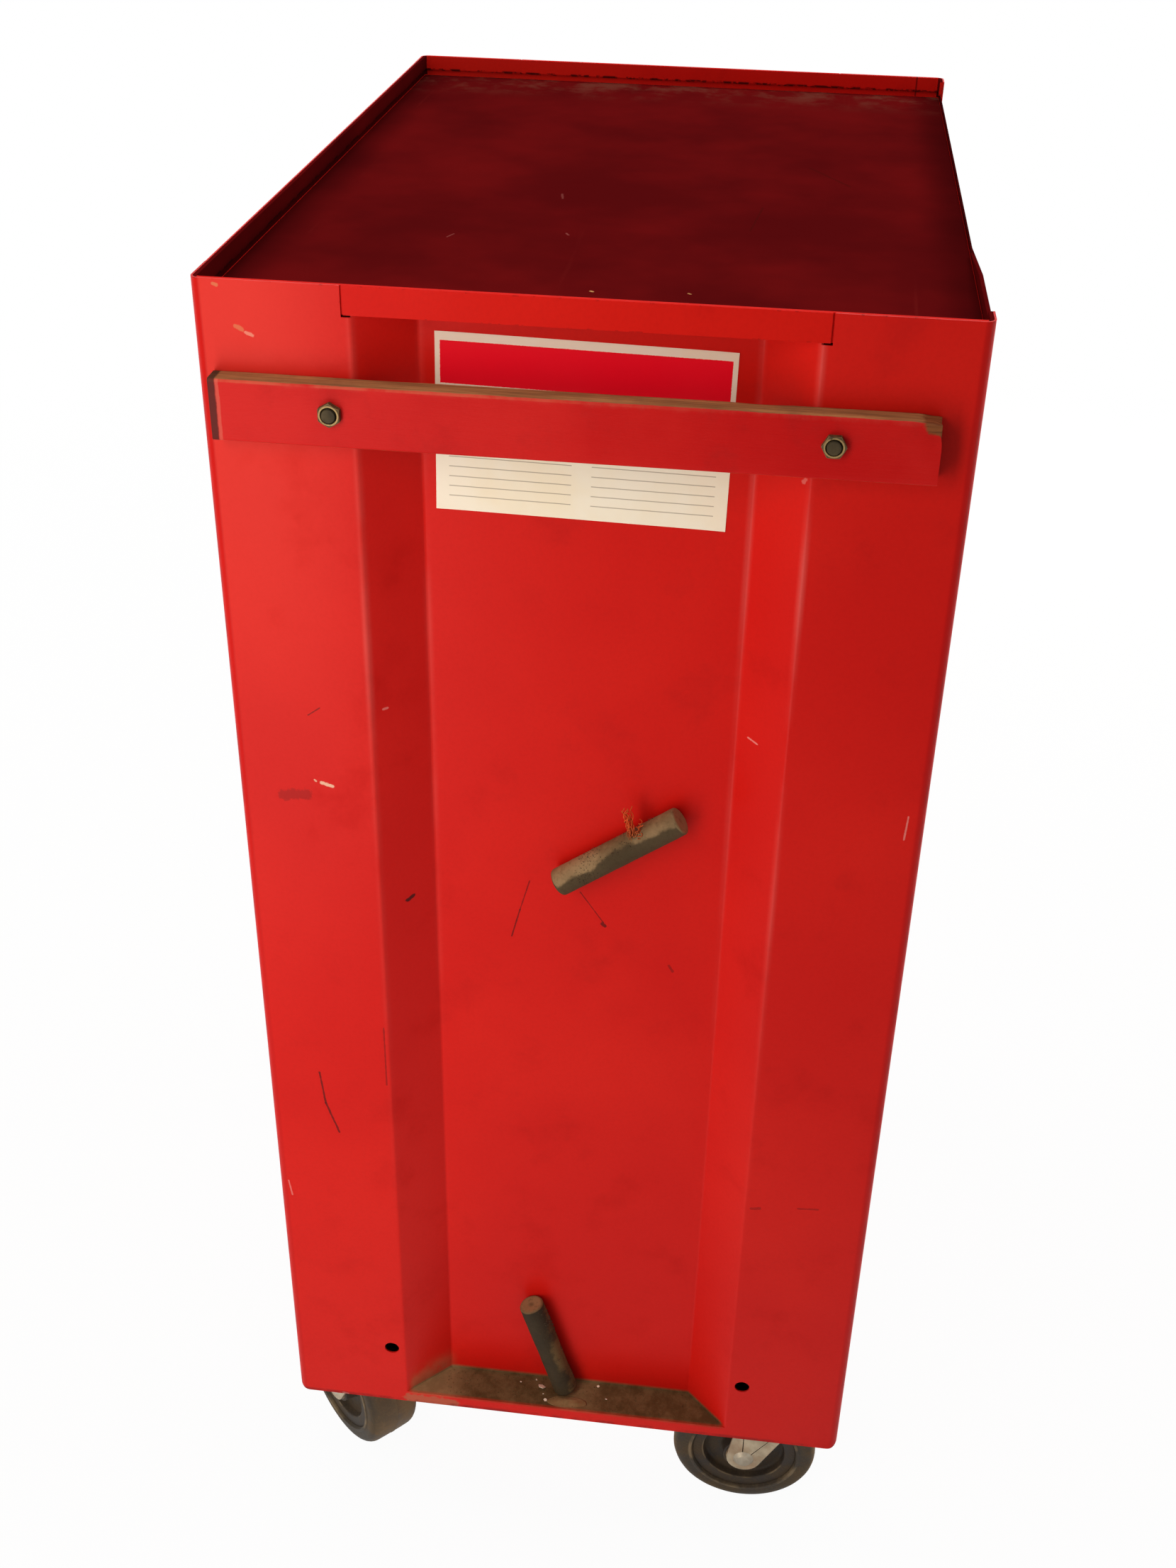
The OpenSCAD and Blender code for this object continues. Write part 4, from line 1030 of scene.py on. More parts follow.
WARM = (1.0, 0.93, 0.85)
PLAIN = (1.0, 0.97, 0.94)
WIDE = (1.6, 1.6)
LAMPS = (
    Lamp("key", (0.93, -0.38, 0.88), (0.32, 0.0, 0.8), (0.3, 1.45), 5.6, WARM),
    Lamp("top", (-0.1, 0.0, 2.5), (-0.1, 0.0, 1.0), WIDE, 21.0, PLAIN),
    Lamp("front", (-0.7, -2.6, 0.9), (-0.1, 0.0, 0.6), WIDE, 38.0, PLAIN, False),
    Lamp("rear", (-0.7, 2.6, 0.9), (-0.1, 0.0, 0.6), WIDE, 38.0, PLAIN, False),
    Lamp("far", (-2.6, 0.4, 0.9), (0.0, 0.0, 0.6), WIDE, 33.0, PLAIN, False),
)


@dataclass
class Studio:
    """Pale floor, soft light and the camera of the photograph."""

    camera_place: Point = (1.3217, 0.1178, 1.4145)
    right: Point = (-0.1222, 0.9923, 0.0185)
    up: Point = (-0.5301, -0.0810, 0.8441)
    lens: float = 41.13
    sensor: float = 36.0
    floor_half: float = 30.0
    glow: float = 0.955
    shadow_reach: float = 0.9
    white_reach: float = 3.0
    ambient: float = 0.18

    def build(self) -> None:
        """Makes camera, floor, world and lamps."""
        scene = bpy.context.scene
        scene.view_settings.view_transform = "Standard"
        self._camera(scene)
        self._world(scene)
        self._floor()
        for lamp in LAMPS:
            lamp.build()

    def _camera(self, scene: bpy.types.Scene) -> None:
        """Places the camera."""
        data = bpy.data.cameras.new("camera")
        data.lens = self.lens
        data.sensor_width = self.sensor
        camera = bpy.data.objects.new("camera", data)
        right = Vector(self.right).normalized()
        up = Vector(self.up)
        up = (up - right * up.dot(right)).normalized()
        turn = Matrix((right, up, right.cross(up))).transposed().to_4x4()
        camera.matrix_world = Matrix.Translation(self.camera_place) @ turn
        scene.collection.objects.link(camera)
        scene.camera = camera

    def _world(self, scene: bpy.types.Scene) -> None:
        """White to the eye and in reflections, softer as a lamp."""
        scene.world = bpy.data.worlds.new("studio")
        scene.world.use_nodes = True
        tree = NodeTree(scene.world.node_tree)
        paths = tree.node("ShaderNodeLightPath").socket.node.outputs
        seen = Value(tree, paths["Is Camera Ray"]).most(Value(tree, paths["Is Transmission Ray"]))
        seen = seen.most(Value(tree, paths["Is Glossy Ray"]))
        light = tree.node("ShaderNodeBackground", None,
                          {"Color": (1, 1, 1, 1), "Strength": seen * (1.0 - self.ambient) + self.ambient})
        tree.node("ShaderNodeOutputWorld", None, {"Surface": light})

    def _floor(self) -> None:
        """A pale floor that keeps a soft shadow."""
        r = self.floor_half
        mesh = plain_mesh("floor", [(-r, -r, 0), (r, -r, 0), (r, r, 0), (-r, r, 0)], (), [(0, 1, 2, 3)])
        shader = Shader("floor")
        paths = shader.node("ShaderNodeLightPath").socket.node.outputs
        eye = Value(shader, paths["Is Camera Ray"]).most(Value(shader, paths["Is Glossy Ray"]))
        matt = shader.node("ShaderNodeBsdfDiffuse", None, {"Color": (0.86, 0.86, 0.86, 1.0)})
        glow = shader.node("ShaderNodeEmission", None, {"Color": (1.0, 1.0, 1.0, 1.0), "Strength": 1.0})
        distance = (shader.x * shader.x + shader.y * shader.y).root()
        share = distance.smooth(self.shadow_reach, self.white_reach) * (1.0 - self.glow) + self.glow
        both = shader.node("ShaderNodeMixShader", None, {0: eye * share, 1: matt, 2: glow})
        shader.node("ShaderNodeOutputMaterial", None, {"Surface": both})
        mesh.materials.append(shader.material)
        floor = bpy.data.objects.new("floor", mesh)
        bpy.context.scene.collection.objects.link(floor)


@dataclass
class SheetBody:
    """Packed sheet pieces of body and drawers: softened edges and enamel."""

    frame: dict[str, Any]
    layout: Layout
    soft_edge: float = 0.35 * MM
    turn: float = math.radians(35)

    def dress(self) -> None:
        """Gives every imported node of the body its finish."""
        enamel = Enamel(self.layout)
        panel = enamel.panel()
        plain = ["left_side_panel", "back_panel", "base_pan", "front_header", "front_sill", "corner_posts"]
        plain += [f"drawer_{i}_{part}" for i in range(1, DRAWERS + 1) for part in ("box", "front")]
        for name in plain:
            self.coat(name, panel)
        self.coat("right_side_panel", enamel.push_end())
        self.coat("top_tray", enamel.tray())

    def coat(self, name: str, material: bpy.types.Material, width: float | None = None) -> None:
        """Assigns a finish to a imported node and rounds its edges.

        Args:
            name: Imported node.
            material: Finish.
            width: Width of the rounded edges, or the body's own.
        """
        node = self.frame["nodes"][name]
        node.data.materials.clear()
        node.data.materials.append(material)
        weld = node.modifiers.new("join", "WELD")
        weld.merge_threshold = JOINED
        bevel = node.modifiers.new("soft edges", "BEVEL")
        bevel.width = width if width is not None else self.soft_edge
        bevel.segments = 2
        bevel.limit_method = "ANGLE"
        bevel.angle_limit = self.turn
        sides = node.modifiers.new("flat sides", "WEIGHTED_NORMAL")
        sides.mode = "FACE_AREA"
        sides.weight = 100
        sides.keep_sharp = True
        for face in node.data.polygons:
            face.use_smooth = True
        LOG.info("finish %s on %s", material.name, name)


@dataclass
class SpotWelds:
    """Dimples of the spot welds that hold the back panel along three of its edges."""

    layout: Layout
    pieces: Pieces
    inset: float = 13 * MM
    spacing: float = 62 * MM
    radius: float = 3.6 * MM
    rise: float = 0.3 * MM
    seat: float = 0.2 * MM
    sides: int = 18
    scorched: tuple[Rgb, Rgb, Rgb] = (srgb(140, 14, 11), srgb(156, 20, 15), srgb(96, 12, 10))

    def build(self) -> None:
        """Sets one dimple after another along each edge."""
        low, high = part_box("back_panel")
        left, right = low.x + self.inset, high.x - self.inset
        foot, top = low.z + self.inset, high.z - 2 * self.inset
        ends = [(left, foot), (left, top), (right, foot), (right, top), (left + self.spacing, foot),
                (right - self.spacing, foot)]
        lines = plain_mesh("weld_lines", [(x, high.y, z) for x, z in ends], [(0, 1), (2, 3), (4, 5)])
        r, rise = self.radius, self.rise
        outline = [(0.0, rise * 0.15), (r * 0.45, rise * 0.15), (r * 0.7, rise), (r * 0.85, rise), (r, 0.0),
                   (r, -self.seat), (0.0, -self.seat)]
        work = bmesh.new()
        lathe(work, outline, Matrix.Identity(4), self.sides)
        shape = bpy.data.objects.new("weld_shape", mesh_from("weld_shape", work))
        grower = Grower("spot_welds", {"Spacing": self.spacing})
        source = grower.shape(shape)
        path = grower.node("GeometryNodeMeshToCurve", None, {"Mesh": grower.inputs["Geometry"]})
        places = grower.node("GeometryNodeResampleCurve", {"mode": "LENGTH"},
                             {"Curve": path, "Length": grower.inputs["Spacing"]})
        welds = grower.stand(places, source, Rotation=(-math.pi / 2, 0.0, 0.0))
        finish = Enamel(self.layout, *self.scorched).panel("weld_enamel")
        mesh = grower.grow(welds, lines, finish)
        bpy.data.objects.remove(shape)
        self.pieces.add("back_spot_welds", mesh, finish, "cabinet", "red_paint")


@dataclass
class EndCard:
    """Blank card stuck to the back of the push rail end's recess."""

    layout: Layout
    pieces: Pieces
    width: float = 180 * MM
    height: float = 113 * MM
    centre_y: float = -3 * MM
    centre_z: float = 1015 * MM
    tilt: float = math.radians(-0.9)
    thickness: float = 0.15 * MM
    curl: float = 0.5 * MM
    columns: int = 36
    rows: int = 24

    def build(self) -> None:
        """Makes the card with its corners slightly lifted."""
        work = bmesh.new()
        uv_layer = work.loops.layers.uv.new("card")
        grid = [[work.verts.new(self._point(i / self.columns, j / self.rows))
                 for i in range(self.columns + 1)] for j in range(self.rows + 1)]
        for j in range(self.rows):
            for i in range(self.columns):
                face = work.faces.new((grid[j][i], grid[j][i + 1], grid[j + 1][i + 1], grid[j + 1][i]))
                places = ((i, j), (i + 1, j), (i + 1, j + 1), (i, j + 1))
                for loop, (a, b) in zip(face.loops, places):
                    loop[uv_layer].uv = (a / self.columns, b / self.rows)
        mesh = mesh_from("end_card", work)
        card = self.pieces.add("end_card", mesh, CardPrint(self.width, self.height).material(), "cabinet")
        solid = card.modifiers.new("thickness", "SOLIDIFY")
        solid.thickness = self.thickness
        solid.offset = 1.0

    def _point(self, u: float, v: float) -> Vector:
        """Place of a point on the card from its share across and up."""
        across, up = (u - 0.5) * self.width, (v - 0.5) * self.height
        corner = (abs(2 * u - 1) * abs(2 * v - 1)) ** 8
        cos, sin = math.cos(self.tilt), math.sin(self.tilt)
        return Vector((self.layout.recess_x + 0.05 * MM + self.curl * corner,
                       self.centre_y + across * cos - up * sin, self.centre_z + across * sin + up * cos))


@dataclass
class PushRail:
    """Timber board with its bolts and nuts."""

    pieces: Pieces
    stations: int = 150
    arris: float = 1.6 * MM
    grid: float = 2.5 * MM
    chip_reach: float = 17 * MM
    chip_depth: float = 3.2 * MM
    bolt_r: float = 4 * MM
    thread_pitch: float = 1.25 * MM
    thread_ridge: float = 0.42 * MM
    bare_end: float = 0.6 * MM
    mouth: float = 1.1 * MM
    nut_sides: int = 72

    def build(self) -> None:
        """Makes the board, the nuts and the threaded bolt ends."""
        low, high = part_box("wood_push_rail")
        self._board(low, high)
        self._nuts()
        self._threads()

    def _board(self, low: Vector, high: Vector) -> None:
        """Board with rounded, knocked edges and a split corner."""
        a = self.arris
        corners = [(low.x, low.z, a), (high.x, low.z, a), (high.x, high.z, a), (low.x, high.z, a)]
        section = self._denser(rounded_profile(corners, 4), self.grid)
        work = bmesh.new()
        rings = []
        for i in range(self.stations + 1):
            y = low.y + (high.y - low.y) * i / self.stations
            rings.append([work.verts.new(self._worn(Vector((x, y, z)), low, high)) for x, z in section])
        bridge(work, rings)
        for ring in (rings[0], rings[-1]):
            work.faces.new(ring)
        mesh = mesh_from("push_rail_board", work)
        board = Timber(high.z, low.y, high.y).material()
        self.pieces.add("push_rail_board", mesh, board, "cabinet", "painted_timber", ["wood_push_rail"])

    @staticmethod
    def _denser(outline: Outline, step: float) -> Outline:
        """Splits long sides of a closed outline into steps."""
        dense = []
        for start, end in zip(outline, list(outline[1:]) + [outline[0]]):
            count = max(1, round(math.dist(start, end) / step))
            dense += [tuple(Vector(start).lerp(Vector(end), k / count)) for k in range(count)]
        return dense

    def _worn(self, point: Vector, low: Vector, high: Vector) -> Vector:
        """Moves a point of the board inwards where it is knocked or split."""
        middle = Vector(((low.x + high.x) / 2, point.y, (low.z + high.z) / 2))
        inward = middle - point
        near_edge = min(high.x - point.x, point.x - low.x) + min(high.z - point.z, point.z - low.z)
        knock = max(0.0, noise.noise(point * 24.0) - 0.2) * max(0.0, 1 - near_edge / (4 * MM)) * 1.1 * MM
        reach = math.dist((point.y, point.z), (high.y, high.z)) + 0.35 * (high.x - point.x)
        split = max(0.0, 1 - reach / self.chip_reach) * self.chip_depth
        split *= 0.7 + 0.6 * noise.noise(point * 140.0)
        moved = point + inward.normalized() * (knock + split)
        return Vector((moved.x, point.y - split * 0.6, moved.z))

    @staticmethod
    def _nut_reach() -> float:
        """From the middle of a nut to its flats."""
        low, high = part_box("push_rail_nuts")
        return (high.z - low.z) / 2 * math.cos(math.pi / 6)

    def _bolt_places(self) -> list[Vector]:
        """Where the two bolts leave their nuts."""
        low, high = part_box("push_rail_nuts")
        reach = self._nut_reach()
        return [Vector((high.x, y, (low.z + high.z) / 2)) for y in (low.y + reach, high.y - reach)]

    def _nuts(self) -> None:
        """Hexagon nuts with turned corners, one shape on both bolts."""
        low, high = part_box("push_rail_nuts")
        flat, height, bore = self._nut_reach() - 0.1 * MM, high.x - low.x, self.bolt_r + 0.05 * MM
        shoulder, sink, sides = flat * 0.96, self.mouth, self.nut_sides
        work = bmesh.new()
        loops = []
        for radius, level in ((bore, 0.0), (bore, height - sink), (bore + sink, height), (shoulder, height),
                              (0.0, height), (0.0, 0.0)):
            loop = []
            for k in range(sides):
                angle = 2 * math.pi * k / sides
                hexagon = flat / math.cos((angle + math.pi / 6) % (math.pi / 3) - math.pi / 6)
                r = radius or hexagon
                drop = (hexagon - shoulder) * math.tan(math.radians(30)) if not radius and level else 0.0
                loop.append(work.verts.new((r * math.cos(angle), r * math.sin(angle), level - drop - height)))
            loops.append(loop)
        bridge(work, loops, True)
        shape = bpy.data.objects.new("nut_shape", mesh_from("nut_shape", work, math.radians(28)))
        grower = Grower("rail_nuts", {"Turn": math.pi / 6})
        index = grower.node("GeometryNodeInputIndex")
        turn = grower.node("ShaderNodeCombineXYZ", None, {2: (1.0 - index) * grower.inputs["Turn"]})
        out = grower.node("FunctionNodeEulerToRotation", None, {0: (0.0, math.pi / 2, 0.0)})
        turned = grower.node("FunctionNodeRotateRotation", {"rotation_space": "LOCAL"}, {0: out, 1: turn})
        nuts = grower.stand(grower.inputs["Geometry"], grower.shape(shape), Rotation=turned)
        first, second = self._bolt_places()
        finish = NutFinish((first.y + second.y) / 2, abs(second.y - first.y) / 2, first.z, bore + sink,
                           shoulder).material()
        mesh = grower.grow(nuts, plain_mesh("nut_places", self._bolt_places()), finish)
        bpy.data.objects.remove(shape)
        self.pieces.add("rail_nuts", mesh, finish, "cabinet", "yellow_zinc", ["push_rail_nuts"])

    def _threads(self) -> None:
        """Thread ridges on the bolt ends, from the mouths of the nuts outwards."""
        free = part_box("push_rail_bolts")[1].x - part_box("push_rail_nuts")[1].x + self.mouth
        free -= self.bare_end
        grower = Grower("rail_threads", {"Radius": self.bolt_r - 0.1 * MM, "Length": free,
                                         "Turns": free / self.thread_pitch, "Ridge": self.thread_ridge})
        spiral = grower.node("GeometryNodeCurveSpiral", None, {
            "Resolution": 28, "Rotations": grower.inputs["Turns"], "Start Radius": grower.inputs["Radius"],
            "End Radius": grower.inputs["Radius"], "Height": grower.inputs["Length"]})
        ridge = grower.wire(spiral, 4, grower.inputs["Ridge"])
        ends = grower.stand(grower.inputs["Geometry"], ridge, Rotation=(0.0, math.pi / 2, 0.0))
        finish = BOLT_END.material()
        starts = [place - Vector((self.mouth, 0.0, 0.0)) for place in self._bolt_places()]
        mesh = grower.grow(ends, plain_mesh("thread_places", starts), finish)
        self.pieces.add("rail_bolt_threads", mesh, finish, "cabinet", "bolt_steel")


@dataclass
class Wheels:
    """Four moulded wheels: crowned tyres with a bead ring on each side, on dished cores."""

    frame: dict[str, Any]
    pieces: Pieces
    tyre_r: float = 63.45 * MM
    half_w: float = 25 * MM
    seat_r: float = 45.5 * MM
    web_r: float = 35 * MM
    web_half_w: float = 14 * MM
    rim_half_w: float = 22 * MM
    boss_r: float = 19.5 * MM
    boss_half_w: float = 26.6 * MM
    bore_r: float = 6.5 * MM
    bead_r: float = 47.6 * MM
    shoulder: float = 9 * MM
    crown: float = 0.35 * MM
    washer_r: float = 15.5 * MM
    segments: int = 128

    def build(self) -> None:
        """Makes tyre, core and washers of each wheel."""
        tyre = Rubber("tyre_rubber", srgb(50, 41, 29), srgb(116, 95, 66), 0.4).material()
        core = Rubber("wheel_core", srgb(42, 33, 24), srgb(92, 74, 50), 0.5).material()
        washer = Metal("boss_washer", srgb(178, 148, 104), srgb(120, 94, 60), srgb(70, 50, 32),
                       roughness=0.5, metallic=0.5).material()
        for joint in self.frame["joints"]:
            body = joint["child"]
            if not body.endswith("_wheel"):
                continue
            name = body.removesuffix("_wheel")
            place = axis_frame(Vector(joint["pos_m"]), Vector(joint["axis"]))
            self._turned(f"{name}_tyre", self._tyre_outline(), place, tyre, body, "tyre_rubber", True)
            self._turned(f"{name}_hub", self._core_outline(), place, core, body, "wheel_core", True)
            for side, end in ((-1, "left"), (1, "right")):
                ring = self._washer_outline(side)
                self._turned(f"{name}_washer_{end}", ring, place, washer, body, "zinc_steel", False)

    def _turned(self, name: str, outline: Outline, place: Matrix, finish: bpy.types.Material, body: str,
                slot: str, replaces: bool) -> None:
        """Turns one outline and puts it on its wheel.

        Args:
            name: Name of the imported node, or of a new piece.
            outline: Closed outline of radius and height.
            place: Wheel centre and axle.
            finish: Material.
            body: Body that it rides on.
            slot: Slot of the record.
            replaces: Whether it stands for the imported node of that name.
        """
        work = bmesh.new()
        lathe(work, outline, place, self.segments)
        centre, axis = place.to_translation(), place.to_3x3().col[2].normalized()
        for vert in work.verts:
            spoke = off_axis(vert.co, centre, axis)
            if spoke.length > self.tyre_r * 0.9:
                worn = max(0.0, noise.noise(vert.co * 45.0)) * 0.35 * MM
                vert.co -= spoke.normalized() * worn
        mesh = mesh_from(name, work)
        self._mark_tread_and_crest(mesh, centre, axis)
        if replaces:
            self.pieces.add(f"{name}_moulded", mesh, finish, body, slot, [name])
        else:
            self.pieces.add(name, mesh, finish, body, slot)

    def _mark_tread_and_crest(self, mesh: bpy.types.Mesh, centre: Vector, axis: Vector) -> None:
        """Notes on each vertex how far it belongs to the tread, or to a ring on the side whose paler colour
        is partly painted highlight and partly wear.
        """
        tread = mesh.attributes.new("tread", "FLOAT", "POINT")
        crest = mesh.attributes.new("crest", "FLOAT", "POINT")
        for i, vert in enumerate(mesh.vertices):
            along = abs((vert.co - centre).dot(axis))
            out = off_axis(vert.co, centre, axis).length
            tread.data[i].value = min(1.0, max(0.0, (out - self.tyre_r + 4 * MM) / (3.4 * MM)))
            on_bead = abs(out - self.bead_r) < 1.3 * MM and along > self.half_w - 1 * MM
            on_rim = abs(out - self.web_r - 1 * MM) < 1.0 * MM and along > self.rim_half_w - 0.8 * MM
            crest.data[i].value = 1.0 if on_bead or on_rim else 0.0

    def _tyre_outline(self) -> Outline:
        """Tyre with a bead ring on each side, smooth flanks, round shoulders and a parting line."""
        seat, side = self.seat_r + 0.05 * MM, self.half_w
        flank, tread = side - 1.2 * MM, self.tyre_r - self.crown
        bead, crest = self.bead_r, side - 0.2 * MM
        half = [(seat, -self.rim_half_w - 0.2 * MM, 0.2 * MM), (bead - 1.0 * MM, -crest, 0.5 * MM),
                (bead + 1.0 * MM, -crest, 0.6 * MM), (bead + 2.2 * MM, -flank, 1.0 * MM),
                (tread - 0.5 * MM, -flank - 0.5 * MM, self.shoulder), (tread, -7 * MM, 0.0),
                (tread, -1.0 * MM, 0.0), (self.tyre_r, -0.5 * MM, 0.0)]
        return rounded_profile(self._mirrored(half), 7)

    @staticmethod
    def _mirrored(half: Sequence[Point]) -> list[Point]:
        """One side of a wheel's outline and its mirror image."""
        return list(half) + [(r, -h, soften) for r, h, soften in reversed(half)]

    def _core_outline(self) -> Outline:
        """Core with a dished web between boss and rim."""
        boss, web, rim = self.boss_half_w, self.web_half_w, self.rim_half_w
        half = [(self.bore_r, -boss, 0.3 * MM), (self.boss_r - 1.5 * MM, -boss, 1.0 * MM),
                (self.boss_r, -web, 3 * MM), (self.web_r, -web, 3 * MM),
                (self.web_r + 1 * MM, -rim, 1.5 * MM), (self.seat_r, -rim, 0.5 * MM)]
        return rounded_profile(self._mirrored(half))

    def _washer_outline(self, side: int) -> Outline:
        """Thin washer on one end of the boss."""
        low, high = self.boss_half_w - 0.1 * MM, self.boss_half_w + 0.25 * MM
        bore, edge = self.bore_r + 0.2 * MM, 0.1 * MM
        ring = [(bore, low, 0.0), (self.washer_r, low, 0.0), (self.washer_r, high, edge), (bore, high, edge)]
        return rounded_profile([(r, side * h, soften) for r, h, soften in ring], 2)


@dataclass
class Magnets:
    """Two rough bar magnets with filings, and a tuft of rusty swarf on the upper one."""

    frame: dict[str, Any]
    pieces: Pieces
    edge: float = 1.7 * MM
    stations: int = 60
    segments: int = 56
    tuft_root: Point = (0.3215, 0.0380, 0.7345)
    tuft_rise: float = 29 * MM
    strands: int = 22
    strand_points: int = 44

    def build(self) -> None:
        """Makes bars, filings and the tuft."""
        skins = {
            "bar_magnet_upper": MagnetSkin("magnet_bar_upper", srgb(150, 122, 86), srgb(108, 86, 56),
                                           srgb(56, 43, 23), srgb(146, 136, 96)),
            "bar_magnet_lower": MagnetSkin("magnet_bar_lower", srgb(106, 84, 51), srgb(64, 50, 29),
                                           srgb(42, 32, 18), srgb(142, 112, 76)),
        }
        filings = Metal("iron_filings", srgb(84, 70, 52), srgb(42, 35, 26), srgb(96, 58, 30),
                        roughness=0.6, metallic=0.4, grime_share=0.7).material()
        for seed, (name, skin) in enumerate(skins.items(), 3):
            bar = self._bar(name)
            crust = self._filings(name, bar, filings, seed)
            self.pieces.add(f"{name}_rough", bar, skin.material(), "cabinet", "magnet_steel", [name])
            self.pieces.add(f"{name}_filings", crust, filings, "cabinet")
        self._tuft()

    def _axis(self, name: str) -> tuple[Vector, Vector, float, float]:
        """Centre, axis, length and radius of a packed bar, from its own vertices."""
        points = [vert.co for vert in self.frame["nodes"][name].data.vertices]
        first = max(points, key=lambda p: (p - points[0]).length)
        second = max(points, key=lambda p: (p - first).length)
        near = (first - second).length * 0.3
        ends = [[p for p in points if (p - tip).length < near] for tip in (first, second)]
        middles = [sum(end, Vector()) / len(end) for end in ends]
        axis = (middles[1] - middles[0]).normalized()
        reach = [p.dot(axis) for p in points]
        centre = sum(points, Vector()) / len(points)
        centre += axis * ((max(reach) + min(reach)) / 2 - centre.dot(axis))
        radius = max(off_axis(p, centre, axis).length for p in points)
        return centre, axis, max(reach) - min(reach), radius

    def _bar(self, name: str) -> bpy.types.Mesh:
        """Bar with turned edges, a drawn-in middle of each end and a pitted skin."""
        centre, axis, length, radius = self._axis(name)
        half, edge = length / 2, self.edge
        corner = [(radius - edge + edge * math.sin(a), edge - half - edge * math.cos(a))
                  for a in (math.pi / 2 * k / 4 for k in range(5))]
        lower = [(0.0, 0.5 * MM - half), (radius * 0.4, 0.3 * MM - half), (radius * 0.7, -half)] + corner
        step = (length - 2 * edge) / self.stations
        along = [(radius, edge - half + step * k) for k in range(1, self.stations)]
        outline = lower + along + [(r, -h) for r, h in reversed(lower)]
        work = bmesh.new()
        lathe(work, outline, axis_frame(centre, axis), self.segments)
        for vert in work.verts:
            inward = centre + axis * (vert.co - centre).dot(axis) - vert.co
            pits = 0.5 + 0.5 * noise.noise(vert.co * 160.0)
            dents = max(0.0, noise.noise(vert.co * 40.0) - 0.2)
            if inward.length > 1 * MM:
                vert.co += inward.normalized() * (pits * 0.22 + dents * 0.8) * MM
        mesh = mesh_from(name, work)
        # Positive on the upward end, where the skin is paler; negative on the downward end, where it is
        # darkened with painted shade.
        ends = mesh.attributes.new("end", "FLOAT", "POINT")
        for i, vert in enumerate(mesh.vertices):
            along = (vert.co - centre).dot(axis)
            out = (vert.co - centre - axis * along).length
            on_end = abs(along) > half - edge * 0.7
            upper = along * axis.z > 0
            ends.data[i].value = (1.0 - 0.75 * out / radius) * (1.0 if upper else -1.0) if on_end else 0.0
        return mesh

    @staticmethod
    def _filings(name: str, bar: bpy.types.Mesh, finish: bpy.types.Material, seed: int) -> bpy.types.Mesh:
        """Short slivers of iron that stand on parts of a bar."""
        grower = Grower(f"{name}_filings", {"Thickness": 0.28 * MM, "Length": 1.5 * MM, "Density": 420000.0})
        place = grower.node("GeometryNodeInputPosition")
        cloud = grower.node("ShaderNodeTexNoise", None, {"Vector": place, "Scale": 38.0, "Detail": 3.0})
        crowd = cloud.smooth(0.5, 0.72)
        density = grower.inputs["Density"] * crowd
        scatter = grower.node("GeometryNodeDistributePointsOnFaces", None, {
            "Mesh": grower.inputs["Geometry"], "Density": density, "Seed": seed}, "Points")
        upright = Value(grower.tree, scatter.socket.node.outputs["Rotation"])
        sliver = grower.node("GeometryNodeMeshCone", None, {
            "Vertices": 4, "Radius Top": 0.0, "Radius Bottom": grower.inputs["Thickness"],
            "Depth": grower.inputs["Length"]})
        tilt = grower.node("FunctionNodeRandomValue", {"data_type": "FLOAT_VECTOR"},
                           {0: (-0.7, -0.7, 0.0), 1: (0.7, 0.7, 6.2), "Seed": seed + 11})
        leaning = grower.node("FunctionNodeRotateRotation", {"rotation_space": "LOCAL"},
                              {0: upright, 1: tilt})
        size = grower.node("FunctionNodeRandomValue", {"data_type": "FLOAT"},
                           {2: 0.3, 3: 1.0, "Seed": seed + 23}, 1)
        stood = grower.stand(scatter, sliver, Rotation=leaning, Scale=size)
        return grower.grow(stood, bar.copy(), finish)

    def _tuft(self) -> None:
        """Curly rusty swarf that clings to the upper bar."""
        draw = random.Random(41)
        root = Vector(self.tuft_root)
        points, edges = [], []
        for strand in range(self.strands):
            short = strand % 3 == 0
            reach = self.tuft_rise * (draw.uniform(0.3, 0.55) if short else draw.uniform(0.55, 1.0))
            sideways = draw.uniform(0.2, 0.45) if short else draw.uniform(-0.36, -0.12)
            lean = Vector((draw.uniform(-0.12, 0.1), sideways, 1.0)).normalized()
            side = lean.orthogonal().normalized()
            other = lean.cross(side)
            aside = Vector((draw.uniform(-1.5, 1.5), draw.uniform(-2.5, 2.5), draw.uniform(-6, 1)))
            start = root + aside * MM
            curl = draw.uniform(0.3, 1.3) * MM
            turns = draw.uniform(1.5, 5.0)
            phase = draw.uniform(0, 2 * math.pi)
            for k in range(self.strand_points):
                share = k / (self.strand_points - 1)
                angle = phase + 2 * math.pi * turns * share
                spread = curl * (0.25 + share)
                round_it = side * math.cos(angle) + other * math.sin(angle)
                points.append(start + lean * reach * share + round_it * spread)
                if k:
                    edges.append((len(points) - 2, len(points) - 1))
        lines = plain_mesh("swarf_lines", points, edges)
        grower = Grower("swarf", {"Thickness": 0.32 * MM})
        curve = grower.node("GeometryNodeMeshToCurve", None, {"Mesh": grower.inputs["Geometry"]})
        wire = grower.wire(curve, 5, grower.inputs["Thickness"])
        rust = SwarfRust(root.z, self.tuft_rise).material()
        self.pieces.add("magnet_swarf", grower.grow(wire, lines, rust), rust, "cabinet")


